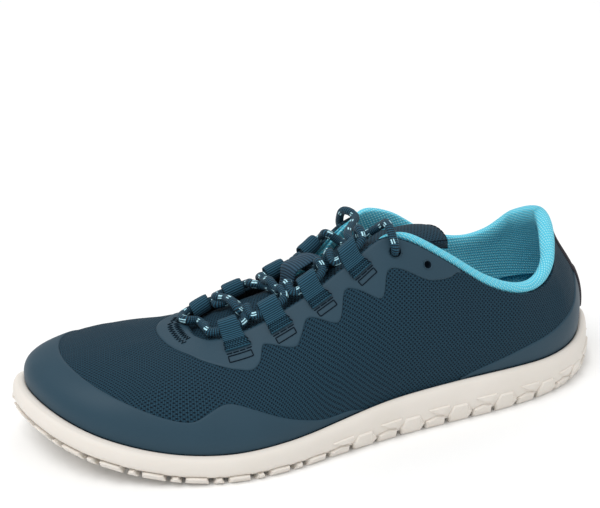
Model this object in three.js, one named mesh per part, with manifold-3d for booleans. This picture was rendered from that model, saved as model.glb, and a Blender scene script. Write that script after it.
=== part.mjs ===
// Barefoot sports shoe for the left foot, standing empty on its sole.
// Millimetres, Z up, toe towards -Y, outer side of the foot towards +X.

import * as THREE from 'three';
import { mergeVertices } from 'three/addons/utils/BufferGeometryUtils.js';
import Module from 'manifold-3d';

const wasm = await Module();
wasm.setup();

// Driving sizes
const SOLE_LENGTH = 288;
const BALL_WIDTH = 101;
const HEEL_WIDTH = 72;
const INSTEP_HEIGHT = 86;
const RIM_HEIGHT = 20;
const RIM_THICKNESS = 4.6;
const BED_HEIGHT = 7.5;
const LUG_DEPTH = 2.6;
const TOE_SPRING = 16;
const HEEL_SPRING = 1.2;
const UPPER_WALL = 2.2;
const INSOLE_THICKNESS = 3.5;
const TONGUE_THICKNESS = 4;
const FILM_THICKNESS = 0.7;
const TAPE_THICKNESS = 1.2;
const TAPE_WIDTH = 15;
const ROLL_RADIUS = 2.6;
const HEEL_ROLL_RADIUS = 4.6;
const LINING_THICKNESS = 2;
const LACE_DIAMETER = 4.2;
const LACE_ROOM = 0.7;
const WEBBING_THICKNESS = 1.2;
const LOOP_WIDTH = 11;
const LOOP_TAIL = 9;
const KEEPER_WIDTH = 10.6;
const EYELET_DIAMETER = 5;
const PUNCH_DIAMETER = 3.4;
const GAP = 0.3;

// Shares of the sole's length that stand flat on the floor
const FLAT_FROM = 0.055;
const FLAT_TO = 0.72;

// How finely the skins are cut: ribs round the shoe, closer together at the heel and the toe
const RIBS = 64;
const END_CROWDING = 0.35;

// Least step, in turns, between two sections of a film
const STATION_STEP = 0.0032;

// Plan of the sole. along: share of the length from the heel.
// outer, inner: shares of the width there, from the line X = 0.
const SOLE_PLAN = [
  { along: 0.03, outer: 0.225, inner: 0.215 },
  { along: 0.08, outer: 0.430, inner: 0.325 },
  { along: 0.15, outer: 0.565, inner: 0.410 },
  { along: 0.25, outer: 0.630, inner: 0.377 },
  { along: 0.35, outer: 0.597, inner: 0.315 },
  { along: 0.45, outer: 0.551, inner: 0.287 },
  { along: 0.55, outer: 0.540, inner: 0.313 },
  { along: 0.65, outer: 0.564, inner: 0.391 },
  { along: 0.72, outer: 0.564, inner: 0.441 },
  { along: 0.80, outer: 0.510, inner: 0.470 },
  { along: 0.88, outer: 0.406, inner: 0.465 },
  { along: 0.94, outer: 0.275, inner: 0.440 },
  { along: 0.98, outer: 0.095, inner: 0.375 },
];
const HEEL_CENTRE = 0;
const TOE_TIP = -0.165;

// Height of the sole's side wall. turn: share of the way round, from the heel by the outer side.
// height: share of RIM_HEIGHT above the sole's underside. thick: share of RIM_THICKNESS.
const SIDE_WALL = [
  { turn: 0.00, height: 1.00, thick: 1.00 },
  { turn: 0.08, height: 0.90, thick: 1.00 },
  { turn: 0.15, height: 0.97, thick: 1.00 },
  { turn: 0.22, height: 0.90, thick: 1.00 },
  { turn: 0.28, height: 0.68, thick: 1.00 },
  { turn: 0.36, height: 0.60, thick: 1.00 },
  { turn: 0.44, height: 0.58, thick: 1.20 },
  { turn: 0.50, height: 0.55, thick: 1.28 },
  { turn: 0.58, height: 0.58, thick: 1.25 },
  { turn: 0.68, height: 0.62, thick: 1.10 },
  { turn: 0.76, height: 0.66, thick: 1.00 },
  { turn: 0.84, height: 0.80, thick: 1.00 },
  { turn: 0.92, height: 0.90, thick: 1.00 },
];

// Section of the side wall. up: share of its height; inset: share of RIM_THICKNESS.
const WALL_SECTION = [
  { up: 0.00, inset: 0.45 },
  { up: 0.16, inset: 0.10 },
  { up: 0.45, inset: 0.00 },
  { up: 0.80, inset: 0.15 },
  { up: 0.96, inset: 0.40 },
  { up: 1.00, inset: 0.62 },
];

// Ribs of the upper. Each is one curve from the rim of the sole to the top line of collar and throat.
// across: share of BALL_WIDTH; along: share of SOLE_LENGTH; up: share of INSTEP_HEIGHT.
// rise, over: reach of the lower and the upper handle, shares of INSTEP_HEIGHT.
// lean: how far the lower handle leans out, share of INSTEP_HEIGHT.
// drop: slope of the upper handle below the horizontal, in degrees.
const TOP_LINE = [
  { turn: 0.000, across: -0.030, along: 0.080, up: 0.826, rise: 0.28, lean: 0.025, over: 0.15, drop: 78 },
  { turn: 0.055, across: 0.178, along: 0.111, up: 0.657, rise: 0.23, lean: 0.035, over: 0.13, drop: 76 },
  { turn: 0.085, across: 0.267, along: 0.149, up: 0.587, rise: 0.19, lean: 0.030, over: 0.13, drop: 76 },
  { turn: 0.115, across: 0.327, along: 0.208, up: 0.599, rise: 0.19, lean: 0.020, over: 0.14, drop: 72 },
  { turn: 0.140, across: 0.337, along: 0.271, up: 0.686, rise: 0.21, lean: 0.020, over: 0.18, drop: 70 },
  { turn: 0.170, across: 0.297, along: 0.340, up: 0.849, rise: 0.25, lean: 0.020, over: 0.25, drop: 62 },
  { turn: 0.195, across: 0.248, along: 0.399, up: 0.971, rise: 0.26, lean: 0.020, over: 0.29, drop: 56 },
  { turn: 0.212, across: 0.208, along: 0.441, up: 1.000, rise: 0.26, lean: 0.020, over: 0.30, drop: 52 },
  { turn: 0.235, across: 0.195, along: 0.493, up: 0.890, rise: 0.23, lean: 0.020, over: 0.28, drop: 48 },
  { turn: 0.265, across: 0.198, along: 0.569, up: 0.745, rise: 0.20, lean: 0.020, over: 0.23, drop: 42 },
  { turn: 0.295, across: 0.188, along: 0.646, up: 0.630, rise: 0.16, lean: 0.030, over: 0.23, drop: 34 },
  { turn: 0.330, across: 0.155, along: 0.703, up: 0.570, rise: 0.15, lean: 0.025, over: 0.26, drop: 24 },
  { turn: 0.400, across: 0.079, along: 0.730, up: 0.556, rise: 0.15, lean: 0.030, over: 0.40, drop: 13 },
  { turn: 0.500, across: -0.020, along: 0.733, up: 0.563, rise: 0.22, lean: 0.045, over: 0.50, drop: 8 },
  { turn: 0.600, across: -0.112, along: 0.732, up: 0.568, rise: 0.24, lean: 0.020, over: 0.30, drop: 9 },
  { turn: 0.670, across: -0.160, along: 0.707, up: 0.578, rise: 0.24, lean: 0.010, over: 0.16, drop: 18 },
  { turn: 0.705, across: -0.168, along: 0.653, up: 0.622, rise: 0.24, lean: 0.030, over: 0.17, drop: 34 },
  { turn: 0.735, across: -0.165, along: 0.576, up: 0.686, rise: 0.25, lean: 0.050, over: 0.19, drop: 44 },
  { turn: 0.765, across: -0.172, along: 0.513, up: 0.765, rise: 0.27, lean: 0.070, over: 0.21, drop: 54 },
  { turn: 0.788, across: -0.208, along: 0.448, up: 0.905, rise: 0.30, lean: 0.080, over: 0.25, drop: 60 },
  { turn: 0.805, across: -0.245, along: 0.403, up: 0.930, rise: 0.30, lean: 0.085, over: 0.22, drop: 66 },
  { turn: 0.830, across: -0.287, along: 0.340, up: 0.850, rise: 0.29, lean: 0.080, over: 0.20, drop: 76 },
  { turn: 0.860, across: -0.297, along: 0.271, up: 0.700, rise: 0.24, lean: 0.055, over: 0.16, drop: 80 },
  { turn: 0.885, across: -0.287, along: 0.215, up: 0.640, rise: 0.21, lean: 0.045, over: 0.14, drop: 82 },
  { turn: 0.915, across: -0.257, along: 0.160, up: 0.664, rise: 0.21, lean: 0.040, over: 0.14, drop: 80 },
  { turn: 0.945, across: -0.198, along: 0.118, up: 0.733, rise: 0.23, lean: 0.040, over: 0.14, drop: 78 },
];

// Levels up a rib at which the skin has a row of points, from the rim to the top line
const LEVELS = [0, 0.15, 0.32, 0.50, 0.68, 0.85, 1];

const RAD = Math.PI / 180;

// A run of even steps, both ends included
const steps = (from, to, count) => Array.from({ length: count + 1 }, (_, i) => from + (to - from) * i / count);

// The turns of the ribs, once round
const crowd = (turn) => turn - END_CROWDING * Math.sin(4 * Math.PI * turn) / (4 * Math.PI);
const RING = steps(0, 1, RIBS).slice(0, -1).map(crowd);

// Small helpers for curves
function smoothstep(from, to, x) {
  const t = Math.min(1, Math.max(0, (x - from) / (to - from)));
  return t * t * (3 - 2 * t);
}

// A smooth closed curve of one number through a table whose rows lie at their turns.
function around(rows, column) {
  const count = rows.length;
  const row = (i) => rows[((i % count) + count) % count];
  const knot = (i) => row(i).turn + Math.floor(i / count);
  const slope = (i) => (row(i + 1)[column] - row(i - 1)[column]) / (knot(i + 1) - knot(i - 1));
  return (turn) => {
    const t = turn - Math.floor(turn - rows[0].turn);
    let i = count - 1;
    while (i > 0 && knot(i) > t) i--;
    const span = knot(i + 1) - knot(i);
    const s = (t - knot(i)) / span;
    const a = row(i)[column];
    const b = row(i + 1)[column];
    const bend = (2 * s * s * s - 3 * s * s) * (a - b);
    return a + bend + span * ((s ** 3 - 2 * s * s + s) * slope(i) + (s ** 3 - s * s) * slope(i + 1));
  };
}

// A smooth open curve of one number through a table, flat past its ends.
function through(rows, column) {
  const last = rows.length - 1;
  const slope = (i) => {
    if (i === 0 || i === last) return 0;
    return (rows[i + 1][column] - rows[i - 1][column]) / (rows[i + 1].turn - rows[i - 1].turn);
  };
  return (turn) => {
    if (turn <= rows[0].turn) return rows[0][column];
    if (turn >= rows[last].turn) return rows[last][column];
    let i = last - 1;
    while (rows[i].turn > turn) i--;
    const [a, b] = [rows[i], rows[i + 1]];
    const span = b.turn - a.turn;
    const s = (turn - a.turn) / span;
    const bend = (2 * s * s * s - 3 * s * s) * (a[column] - b[column]);
    return a[column] + bend + span * ((s ** 3 - 2 * s * s + s) * slope(i) + (s ** 3 - s * s) * slope(i + 1));
  };
}

// Plan of the sole
const yAt = (along) => SOLE_LENGTH * (0.5 - along);
const alongAt = (y) => 0.5 - y / SOLE_LENGTH;
const widthAt = (along) => HEEL_WIDTH + (BALL_WIDTH - HEEL_WIDTH) * smoothstep(0.2, 0.65, along);

const planPoints = [
  new THREE.Vector3(HEEL_CENTRE * HEEL_WIDTH, yAt(0), 0),
  ...SOLE_PLAN.map((row) => new THREE.Vector3(row.outer * widthAt(row.along), yAt(row.along), 0)),
  new THREE.Vector3(TOE_TIP * BALL_WIDTH, yAt(1), 0),
  ...SOLE_PLAN.map((row) => new THREE.Vector3(-row.inner * widthAt(row.along), yAt(row.along), 0)).reverse(),
];
const planCurve = new THREE.CatmullRomCurve3(planPoints, true, 'centripetal');
planCurve.arcLengthDivisions = 2000;
const perimeter = planCurve.getLength();

// The way round is measured so that the toe tip lies at one half.
const toeShare = (() => {
  const lengths = planCurve.getLengths();
  const toeIndex = (SOLE_PLAN.length + 1) / planPoints.length * planCurve.arcLengthDivisions;
  return lengths[Math.round(toeIndex)] / lengths[lengths.length - 1];
})();

function arcShare(turn) {
  const t = turn - Math.floor(turn);
  return t < 0.5 ? t * 2 * toeShare : toeShare + (t - 0.5) * 2 * (1 - toeShare);
}

// A point of the sole's outline, moved inwards, with the direction that points out of the shoe.
function outline(turn, inset = 0) {
  const share = arcShare(turn);
  const point = planCurve.getPointAt(share);
  const tangent = planCurve.getTangentAt(share);
  const out = new THREE.Vector3(-tangent.y, tangent.x, 0).normalize();
  return { point: point.addScaledVector(out, -inset), out };
}

// Underside of the sole, and what stands on it
function undersideAt(along) {
  const toe = Math.max(0, (along - FLAT_TO) / (1 - FLAT_TO));
  const heel = Math.max(0, (FLAT_FROM - along) / FLAT_FROM);
  return TOE_SPRING * toe * toe + HEEL_SPRING * heel * heel;
}
const wallShare = around(SIDE_WALL, 'height');
const rimShare = around(SIDE_WALL, 'thick');
const rimThickness = (turn) => RIM_THICKNESS * rimShare(turn);
const bedAt = (y) => undersideAt(alongAt(y)) + BED_HEIGHT;
const rimAt = (turn) => undersideAt(alongAt(outline(turn).point.y)) + RIM_HEIGHT * wallShare(turn);

// The upper's outer surface
const top = Object.fromEntries(
  ['across', 'along', 'up', 'rise', 'lean', 'over', 'drop'].map((column) => [column, around(TOP_LINE, column)]),
);
const skinInset = (turn) => rimThickness(turn) + GAP;

function topPoint(turn) {
  return new THREE.Vector3(
    top.across(turn) * BALL_WIDTH,
    yAt(top.along(turn)),
    top.up(turn) * INSTEP_HEIGHT,
  );
}

// The four control points of one rib
function rib(turn) {
  const foot = outline(turn, skinInset(turn));
  const start = foot.point.clone().setZ(rimAt(turn));
  const end = topPoint(turn);
  const drop = top.drop(turn) * RAD;
  const low = start.clone().addScaledVector(foot.out, top.lean(turn) * INSTEP_HEIGHT);
  low.z += top.rise(turn) * INSTEP_HEIGHT;
  const reach = top.over(turn) * INSTEP_HEIGHT;
  const high = end.clone().addScaledVector(foot.out, reach * Math.cos(drop));
  high.z -= reach * Math.sin(drop);
  return [start, low, high, end];
}

function skin(turn, level) {
  const [a, b, c, d] = rib(turn);
  const s = 1 - level;
  return a.multiplyScalar(s * s * s)
    .addScaledVector(b, 3 * s * s * level)
    .addScaledVector(c, 3 * s * level * level)
    .addScaledVector(d, level * level * level);
}

// The direction out of the upper's surface
function skinOut(turn, level) {
  const step = 0.004;
  const lower = Math.max(0, level - step);
  const upper = Math.min(1, level + step);
  const up = skin(turn, upper).sub(skin(turn, lower));
  const round = skin(turn + step, level).sub(skin(turn - step, level));
  return up.cross(round).normalize();
}

// A point of the skin, moved out (or in, where the distance is negative)
const skinAt = (turn, level, distance) => skin(turn, level).addScaledVector(skinOut(turn, level), distance);

// The upper is cut into flat facets between its ribs and levels. What lies on it follows the facets.
const ringTurn = (i) => RING[((i % RIBS) + RIBS) % RIBS] + Math.floor(i / RIBS);

function facetAt(turn, level, distance) {
  const t = turn - Math.floor(turn);
  let i = RIBS - 1;
  while (i > 0 && RING[i] > t) i--;
  let j = LEVELS.length - 2;
  while (j > 0 && LEVELS[j] > level) j--;
  const a = (t - ringTurn(i)) / (ringTurn(i + 1) - ringTurn(i));
  const b = (level - LEVELS[j]) / (LEVELS[j + 1] - LEVELS[j]);
  const corner = (di, dj) => skinAt(ringTurn(i + di), LEVELS[j + dj], distance);
  const [start, end] = [corner(0, 0), corner(1, 1)];
  const point = start.clone();
  if (a < b) {
    const above = corner(0, 1);
    return point.addScaledVector(above.clone().sub(start), b).addScaledVector(end.sub(above), a);
  }
  const beside = corner(1, 0);
  return point.addScaledVector(beside.clone().sub(start), a).addScaledVector(end.sub(beside), b);
}

// The frame of the top line at one turn, and the length of the rib that ends there
function topFrame(turn) {
  const origin = facetAt(turn, 1, 0);
  const out = facetAt(turn, 1, 1).sub(origin).normalize();
  const up = origin.clone().sub(facetAt(turn, 0.96, 0));
  up.addScaledVector(out, -up.dot(out)).normalize();
  return { origin, out, up };
}
const ribLength = (turn) => skin(turn, 1).distanceTo(skin(turn, 0.8)) / 0.2;

// A point past the top line (up above 0) or down the skin from it, and so far out
function topAt(turn, up, out) {
  if (up < 0) return facetAt(turn, 1 + up / ribLength(turn), out);
  const frame = topFrame(turn);
  return frame.origin.addScaledVector(frame.up, up).addScaledVector(frame.out, out);
}

// The vertical hem of the upper, which stands in the sole's rim
function hemPoint(turn, inset) {
  const { point } = outline(turn, skinInset(turn) + inset);
  return point.setZ(bedAt(point.y) + GAP);
}

// Solids

function geometryFrom(points, faces) {
  const geometry = new THREE.BufferGeometry();
  geometry.setAttribute('position', new THREE.Float32BufferAttribute(points.flatMap((p) => [p.x, p.y, p.z]), 3));
  geometry.setIndex(faces.flat());
  return volumeOf(geometry) < 0 ? turnedOut(geometry) : geometry;
}

function volumeOf(geometry) {
  const p = geometry.getAttribute('position');
  const index = geometry.getIndex().array;
  const [a, b, c] = [new THREE.Vector3(), new THREE.Vector3(), new THREE.Vector3()];
  let sum = 0;
  for (let i = 0; i < index.length; i += 3) {
    a.fromBufferAttribute(p, index[i]);
    b.fromBufferAttribute(p, index[i + 1]);
    c.fromBufferAttribute(p, index[i + 2]);
    sum += a.dot(b.cross(c)) / 6;
  }
  return sum;
}

function turnedOut(geometry) {
  const index = geometry.getIndex().array;
  for (let i = 0; i < index.length; i += 3) [index[i + 1], index[i + 2]] = [index[i + 2], index[i + 1]];
  return geometry;
}

// A closed body swept through loops of points; closed runs join their last loop to the first.
// The second half of a loop is the back of its first half, and is cut along the same diagonals.
function sweep(loops, closed) {
  const size = loops[0].length;
  const points = loops.flat();
  const faces = [];
  const last = closed ? loops.length : loops.length - 1;
  for (let i = 0; i < last; i++) {
    const here = i * size;
    const next = ((i + 1) % loops.length) * size;
    for (let j = 0; j < size; j++) {
      const k = (j + 1) % size;
      if (j < size / 2) faces.push([here + j, here + k, next + k], [here + j, next + k, next + j]);
      else faces.push([here + j, here + k, next + j], [here + k, next + k, next + j]);
    }
  }
  if (!closed) {
    const end = (loops.length - 1) * size;
    for (let j = 0; j < size / 2 - 1; j++) {
      const k = size - 1 - j;
      faces.push([j, k, k - 1], [j, k - 1, j + 1]);
      faces.push([end + j, end + k - 1, end + k], [end + j, end + j + 1, end + k - 1]);
    }
  }
  return geometryFrom(points, faces);
}

// A slab on the upper's facets. liftAt gives its distance from them.
function overlay(turns, levelsAt, liftAt, thickness) {
  const loops = turns.map((turn) => {
    const levels = levelsAt(turn);
    const outside = levels.map((level) => facetAt(turn, level, liftAt(level) + thickness));
    const inside = levels.map((level) => facetAt(turn, level, liftAt(level))).reverse();
    return [...outside, ...inside];
  });
  return sweep(loops, false);
}

// A film: a thin slab with a section at every rib it crosses and at the turns that its edge needs
function film(from, to, extra, levelsAt) {
  const ribs = steps(-RIBS, 2 * RIBS, 3 * RIBS).map(ringTurn);
  const inner = [...ribs, ...extra].filter((turn) => turn > from && turn < to).sort((a, b) => a - b);
  const kept = inner.filter((turn, i) => i === 0 || turn - inner[i - 1] > STATION_STEP);
  return overlay([from, ...kept, to], levelsAt, () => 1.2 * GAP, FILM_THICKNESS);
}

// One section of webbing along a run of points, with its width towards side
function webbingSection(points, side) {
  const edge = (sign) => points.map((point, i) => {
    const way = points[Math.min(points.length - 1, i + 1)].clone().sub(points[Math.max(0, i - 1)]);
    return point.clone().addScaledVector(way.cross(side).normalize(), sign * WEBBING_THICKNESS / 2);
  });
  return [...edge(1), ...edge(-1).reverse()];
}

function solidFrom(geometry) {
  const plain = geometry.clone();
  plain.deleteAttribute('normal');
  plain.deleteAttribute('uv');
  const merged = mergeVertices(plain, 1e-4);
  return new wasm.Manifold(new wasm.Mesh({
    numProp: 3,
    vertProperties: new Float32Array(merged.getAttribute('position').array),
    triVerts: new Uint32Array(merged.getIndex().array),
  }));
}

function geometryOf(solid) {
  const mesh = solid.getMesh();
  const geometry = new THREE.BufferGeometry();
  geometry.setAttribute('position', new THREE.BufferAttribute(mesh.vertProperties, 3));
  geometry.setIndex(new THREE.BufferAttribute(mesh.triVerts, 1));
  return geometry;
}

// Upper
// Holes near the top of the throat. The lace ends in the first of each side.
const HOLES = [
  { turn: 0.2067, level: 0.91, diameter: EYELET_DIAMETER },
  { turn: 0.1867, level: 0.89, diameter: PUNCH_DIAMETER },
];
const bothSides = (turn) => [turn, 1 - turn];
const HOLE_SIDES = 10;

// A straight round bar
function bar(from, to, radius, sides) {
  const circle = new THREE.Shape(steps(0, 360, sides).slice(1).map((angle) => (
    new THREE.Vector2(radius * Math.cos(angle * RAD), radius * Math.sin(angle * RAD))
  )));
  const path = new THREE.LineCurve3(from, to);
  return new THREE.ExtrudeGeometry(circle, { steps: 1, bevelEnabled: false, extrudePath: path });
}

function drilled(geometry) {
  const reach = 3 * UPPER_WALL;
  const pins = HOLES.flatMap(({ turn, level, diameter }) => bothSides(turn).map((side) => (
    solidFrom(bar(facetAt(side, level, -reach), facetAt(side, level, reach), diameter / 2, HOLE_SIDES))
  )));
  return geometryOf(solidFrom(geometry).subtract(wasm.Manifold.union(pins)));
}

function upperGeometry() {
  const loops = RING.map((turn) => [
    hemPoint(turn, 0),
    ...LEVELS.map((level) => skinAt(turn, level, 0)),
    ...LEVELS.map((level) => skinAt(turn, level, -UPPER_WALL)).reverse(),
    hemPoint(turn, UPPER_WALL),
  ]);
  return drilled(sweep(loops, true));
}

// Films on the upper. Each edge is given on the outer side and mirrored to the inner side.
const mirrored = (turn) => Math.min(turn, 1 - turn);

// Lower edge of the film round the throat, with four lobes under the lace loops
const EYESTAY_EDGE = [
  { turn: 0.1620, level: 0.965 },
  { turn: 0.1710, level: 0.880 },
  { turn: 0.1810, level: 0.810 },
  { turn: 0.1900, level: 0.780 },
  { turn: 0.2080, level: 0.810 },
  { turn: 0.2150, level: 0.800 },
  { turn: 0.2200, level: 0.690 },
  { turn: 0.2240, level: 0.690 },
  { turn: 0.2370, level: 0.830 },
  { turn: 0.2440, level: 0.860 },
  { turn: 0.2500, level: 0.720 },
  { turn: 0.2540, level: 0.710 },
  { turn: 0.2660, level: 0.830 },
  { turn: 0.2700, level: 0.840 },
  { turn: 0.2755, level: 0.755 },
  { turn: 0.2800, level: 0.710 },
  { turn: 0.2950, level: 0.825 },
  { turn: 0.2985, level: 0.830 },
  { turn: 0.3040, level: 0.730 },
  { turn: 0.3110, level: 0.690 },
  { turn: 0.3225, level: 0.725 },
  { turn: 0.3440, level: 0.790 },
  { turn: 0.3700, level: 0.835 },
  { turn: 0.4100, level: 0.870 },
  { turn: 0.5000, level: 0.885 },
];
const EYESTAY_TOP = 0.99;
const EYESTAY_FOLD = LEVELS[LEVELS.length - 2];

// Upper edge of the film round the toe, which drops to the sole behind the ball
const TOE_GUARD_EDGE = [
  { turn: 0.2500, level: 0.045 },
  { turn: 0.2690, level: 0.075 },
  { turn: 0.2850, level: 0.160 },
  { turn: 0.3000, level: 0.260 },
  { turn: 0.3130, level: 0.360 },
  { turn: 0.3250, level: 0.440 },
  { turn: 0.3350, level: 0.480 },
  { turn: 0.3440, level: 0.470 },
  { turn: 0.3530, level: 0.420 },
  { turn: 0.3630, level: 0.355 },
  { turn: 0.3750, level: 0.350 },
  { turn: 0.4000, level: 0.385 },
  { turn: 0.4400, level: 0.430 },
  { turn: 0.5000, level: 0.450 },
];

// Upper edge of the film round the heel
const COUNTER_EDGE = [
  { turn: 0.0000, level: 0.400 },
  { turn: 0.0450, level: 0.350 },
  { turn: 0.0790, level: 0.320 },
  { turn: 0.1060, level: 0.240 },
  { turn: 0.1360, level: 0.110 },
  { turn: 0.1550, level: 0.045 },
];
const FILM_FOOT = 0.02;
const FILM_ROW = 0.008;

const eyestayEdge = through(EYESTAY_EDGE, 'level');
const toeGuardEdge = through(TOE_GUARD_EDGE, 'level');
const counterEdge = through(COUNTER_EDGE, 'level');

function eyestayGeometry() {
  const extra = EYESTAY_EDGE.slice(1, -1).flatMap(({ turn }) => bothSides(turn));
  const levelsAt = (turn) => {
    const edge = eyestayEdge(mirrored(turn));
    const middle = Math.max(EYESTAY_FOLD, edge + FILM_ROW);
    return [edge, middle, EYESTAY_TOP];
  };
  const [{ turn }] = EYESTAY_EDGE;
  return drilled(film(turn, 1 - turn, extra, levelsAt));
}

// A film from the sole up to its edge, with rows on the upper's levels as far as these lie below the edge
function lowFilm(from, to, edgeRows, edgeAt) {
  const extra = edgeRows.flatMap(({ turn }) => [turn, -turn, 1 - turn]);
  return film(from, to, extra, (turn) => {
    const edge = edgeAt(turn);
    const rows = [LEVELS[1], LEVELS[2]].map((level, i) => Math.min(level, edge - (2 - i) * FILM_ROW));
    return [FILM_FOOT, ...rows, edge];
  });
}

function toeGuardGeometry() {
  const [{ turn }] = TOE_GUARD_EDGE;
  return lowFilm(turn, 1 - turn, TOE_GUARD_EDGE, (at) => toeGuardEdge(mirrored(at)));
}

function counterGeometry() {
  const { turn } = COUNTER_EDGE[COUNTER_EDGE.length - 1];
  return lowFilm(-turn, turn, COUNTER_EDGE, (at) => counterEdge(Math.abs(at)));
}

// Ribbed tape up the middle of the heel, over the film there
const TAPE_LEVELS = [0.06, 0.15, 0.32, 0.43, 0.50, 0.68, 0.85, 0.96];

function tapeGeometry() {
  const half = TAPE_WIDTH / 2 / perimeter;
  const liftAt = (level) => (level < COUNTER_EDGE[0].level + 0.05 ? 2 * GAP + FILM_THICKNESS : GAP);
  return overlay(steps(-half, half, 4), () => TAPE_LEVELS, liftAt, TAPE_THICKNESS);
}

// Collar lining: a padded roll on the top line and the cloth that hangs from it inside.
// roll: share of the roll's full radius; up: its centre above the top line, in its own radii.
// in: how far its centre lies in from the skin, share of UPPER_WALL. foot: level of the cloth's lower end.
// The rows past the front corners carry it down inside the throat.
const LINING_ROWS = [
  { turn: 0.000, roll: 1.00, up: 1.08, in: 1.95, foot: 0.32 },
  { turn: 0.060, roll: 1.00, up: 1.10, in: 1.50, foot: 0.32 },
  { turn: 0.188, roll: 1.00, up: 1.14, in: 1.10, foot: 0.32 },
  { turn: 0.208, roll: 0.36, up: 1.45, in: 1.60, foot: 0.50 },
  { turn: 0.224, roll: 0.36, up: -2.60, in: 1.60, foot: 0.68 },
  { turn: 0.250, roll: 0.36, up: -2.60, in: 1.60, foot: 0.68 },
];
const LINING_ROLL_SIDES = 5;
const LINING_END = 0.251;
const lining = Object.fromEntries(
  ['roll', 'up', 'in', 'foot'].map((column) => [column, through(LINING_ROWS, column)]),
);

function liningSection(turn) {
  const at = Math.abs(turn);
  const full = HEEL_ROLL_RADIUS + (ROLL_RADIUS - HEEL_ROLL_RADIUS) * smoothstep(0.02, 0.09, at);
  const radius = full * lining.roll(at);
  const [up, inward] = [radius * lining.up(at), UPPER_WALL * lining.in(at)];
  const depth = UPPER_WALL + GAP;
  const levels = LEVELS.filter((level) => level > LEVELS[1] && level < 1).reverse();
  const foot = lining.foot(at);
  const rows = levels.map((level) => Math.max(level, foot - 0.01 * level));
  const roll = steps(-70, 215, LINING_ROLL_SIDES).map((angle) => topAt(
    turn,
    up + radius * Math.sin(angle * RAD),
    radius * Math.cos(angle * RAD) - inward,
  ));
  const inside = rows.map((level) => facetAt(turn, level, -depth - LINING_THICKNESS)).reverse();
  const outside = rows.map((level) => facetAt(turn, level, -depth));
  const corner = topAt(turn, Math.min(GAP, up - radius - GAP), -depth);
  return [...inside, ...roll.reverse(), corner, ...outside];
}

function liningGeometry() {
  const turns = RING.map((turn) => (turn > 0.5 ? turn - 1 : turn))
    .filter((turn) => Math.abs(turn) < LINING_END)
    .sort((a, b) => a - b);
  return sweep(turns.map(liningSection), false);
}

// Sole
const LUG_RELIEF = 0.9;
const LUG_ROOT = 1.6;
const EDGE_LUG_REACH = 12;
const MOTIF_LENGTH = 25;
const FOREFOOT_LUG_LENGTH = 18;
const TREAD_ROW = 29;
const TREAD_RADIUS = 12;
const TREAD_MARGIN = 19;

// Lugs that climb the side wall from the waist round the heel, one motif after another.
// Corners: share of MOTIF_LENGTH along the edge, share of the wall's height. Corners at height 0 stand
// on the floor and carry the lug in under the edge.
const SIDE_LUGS = [
  [[0.04, 0], [0.44, 0], [0.50, 0.26], [0.40, 0.48], [0.12, 0.48], [0.01, 0.22]],
  [[0.54, 0], [0.95, 0], [0.96, 0.24], [0.76, 0.32], [0.58, 0.26]],
  [[0.49, 0.54], [0.62, 0.36], [0.78, 0.40], [0.94, 0.54]],
];
const FOREFOOT_LUG = [[0.06, 0], [0.94, 0], [0.90, 0.24], [0.10, 0.24]];

// Turns between which the motif runs; the rest of the edge has the small lugs of the forefoot
const MOTIF_OUTER_END = 0.27;
const MOTIF_INNER_END = 0.83;

const floorAt = (point) => undersideAt(alongAt(point.y));

function wallInset(turn, up) {
  let i = 1;
  while (i < WALL_SECTION.length - 1 && WALL_SECTION[i].up < up) i++;
  const [a, b] = [WALL_SECTION[i - 1], WALL_SECTION[i]];
  const t = (up - a.up) / (b.up - a.up);
  return rimThickness(turn) * (a.inset + (b.inset - a.inset) * t);
}

function wallPoint(turn, up, inset) {
  const point = outline(turn, inset).point;
  const floor = floorAt(point);
  return point.setZ(floor + (rimAt(turn) - floor) * up);
}

function soleBodyGeometry() {
  const loops = RING.map((turn) => {
    const rim = rimAt(turn);
    const floor = floorAt(outline(turn).point) + LUG_DEPTH;
    const outside = WALL_SECTION.map((row) => (
      outline(turn, row.inset * rimThickness(turn)).point.setZ(floor + (rim - floor) * row.up)
    ));
    const lip = outline(turn, rimThickness(turn)).point.setZ(rim - GAP);
    const bed = outline(turn, rimThickness(turn)).point;
    return [...outside, lip, bed.setZ(bedAt(bed.y))];
  });
  return ringWithCaps(loops);
}

// A block between two loops of points that face each other
function block(front, back) {
  const count = front.length;
  const faces = [];
  for (let i = 0; i < count; i++) {
    const j = (i + 1) % count;
    if (i > 0 && j > 0) faces.push([0, i, j], [count, count + j, count + i]);
    faces.push([i, count + i, count + j], [i, count + j, j]);
  }
  return geometryFrom([...front, ...back], faces);
}

// One lug on the side wall, with its foot on the floor where its corners have no height
function sideLug(start, length, corners) {
  const turnAt = (share) => start + share * length;
  const front = corners.map(([s, up]) => {
    const relief = up === 0 ? LUG_RELIEF / 2 : LUG_RELIEF;
    return wallPoint(turnAt(s), up, wallInset(turnAt(s), up) - relief);
  });
  const onFloor = corners.some(([, up]) => up === 0);
  const back = corners.map(([s, up]) => {
    if (up === 0) return wallPoint(turnAt(s), 0, EDGE_LUG_REACH);
    const root = wallPoint(turnAt(s), up, LUG_ROOT + RIM_THICKNESS / 2);
    const under = floorAt(root) + BED_HEIGHT - LUG_ROOT;
    return root.setZ(onFloor ? Math.min(root.z + LUG_ROOT, under) : root.z);
  });
  return block(front, back);
}

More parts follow.
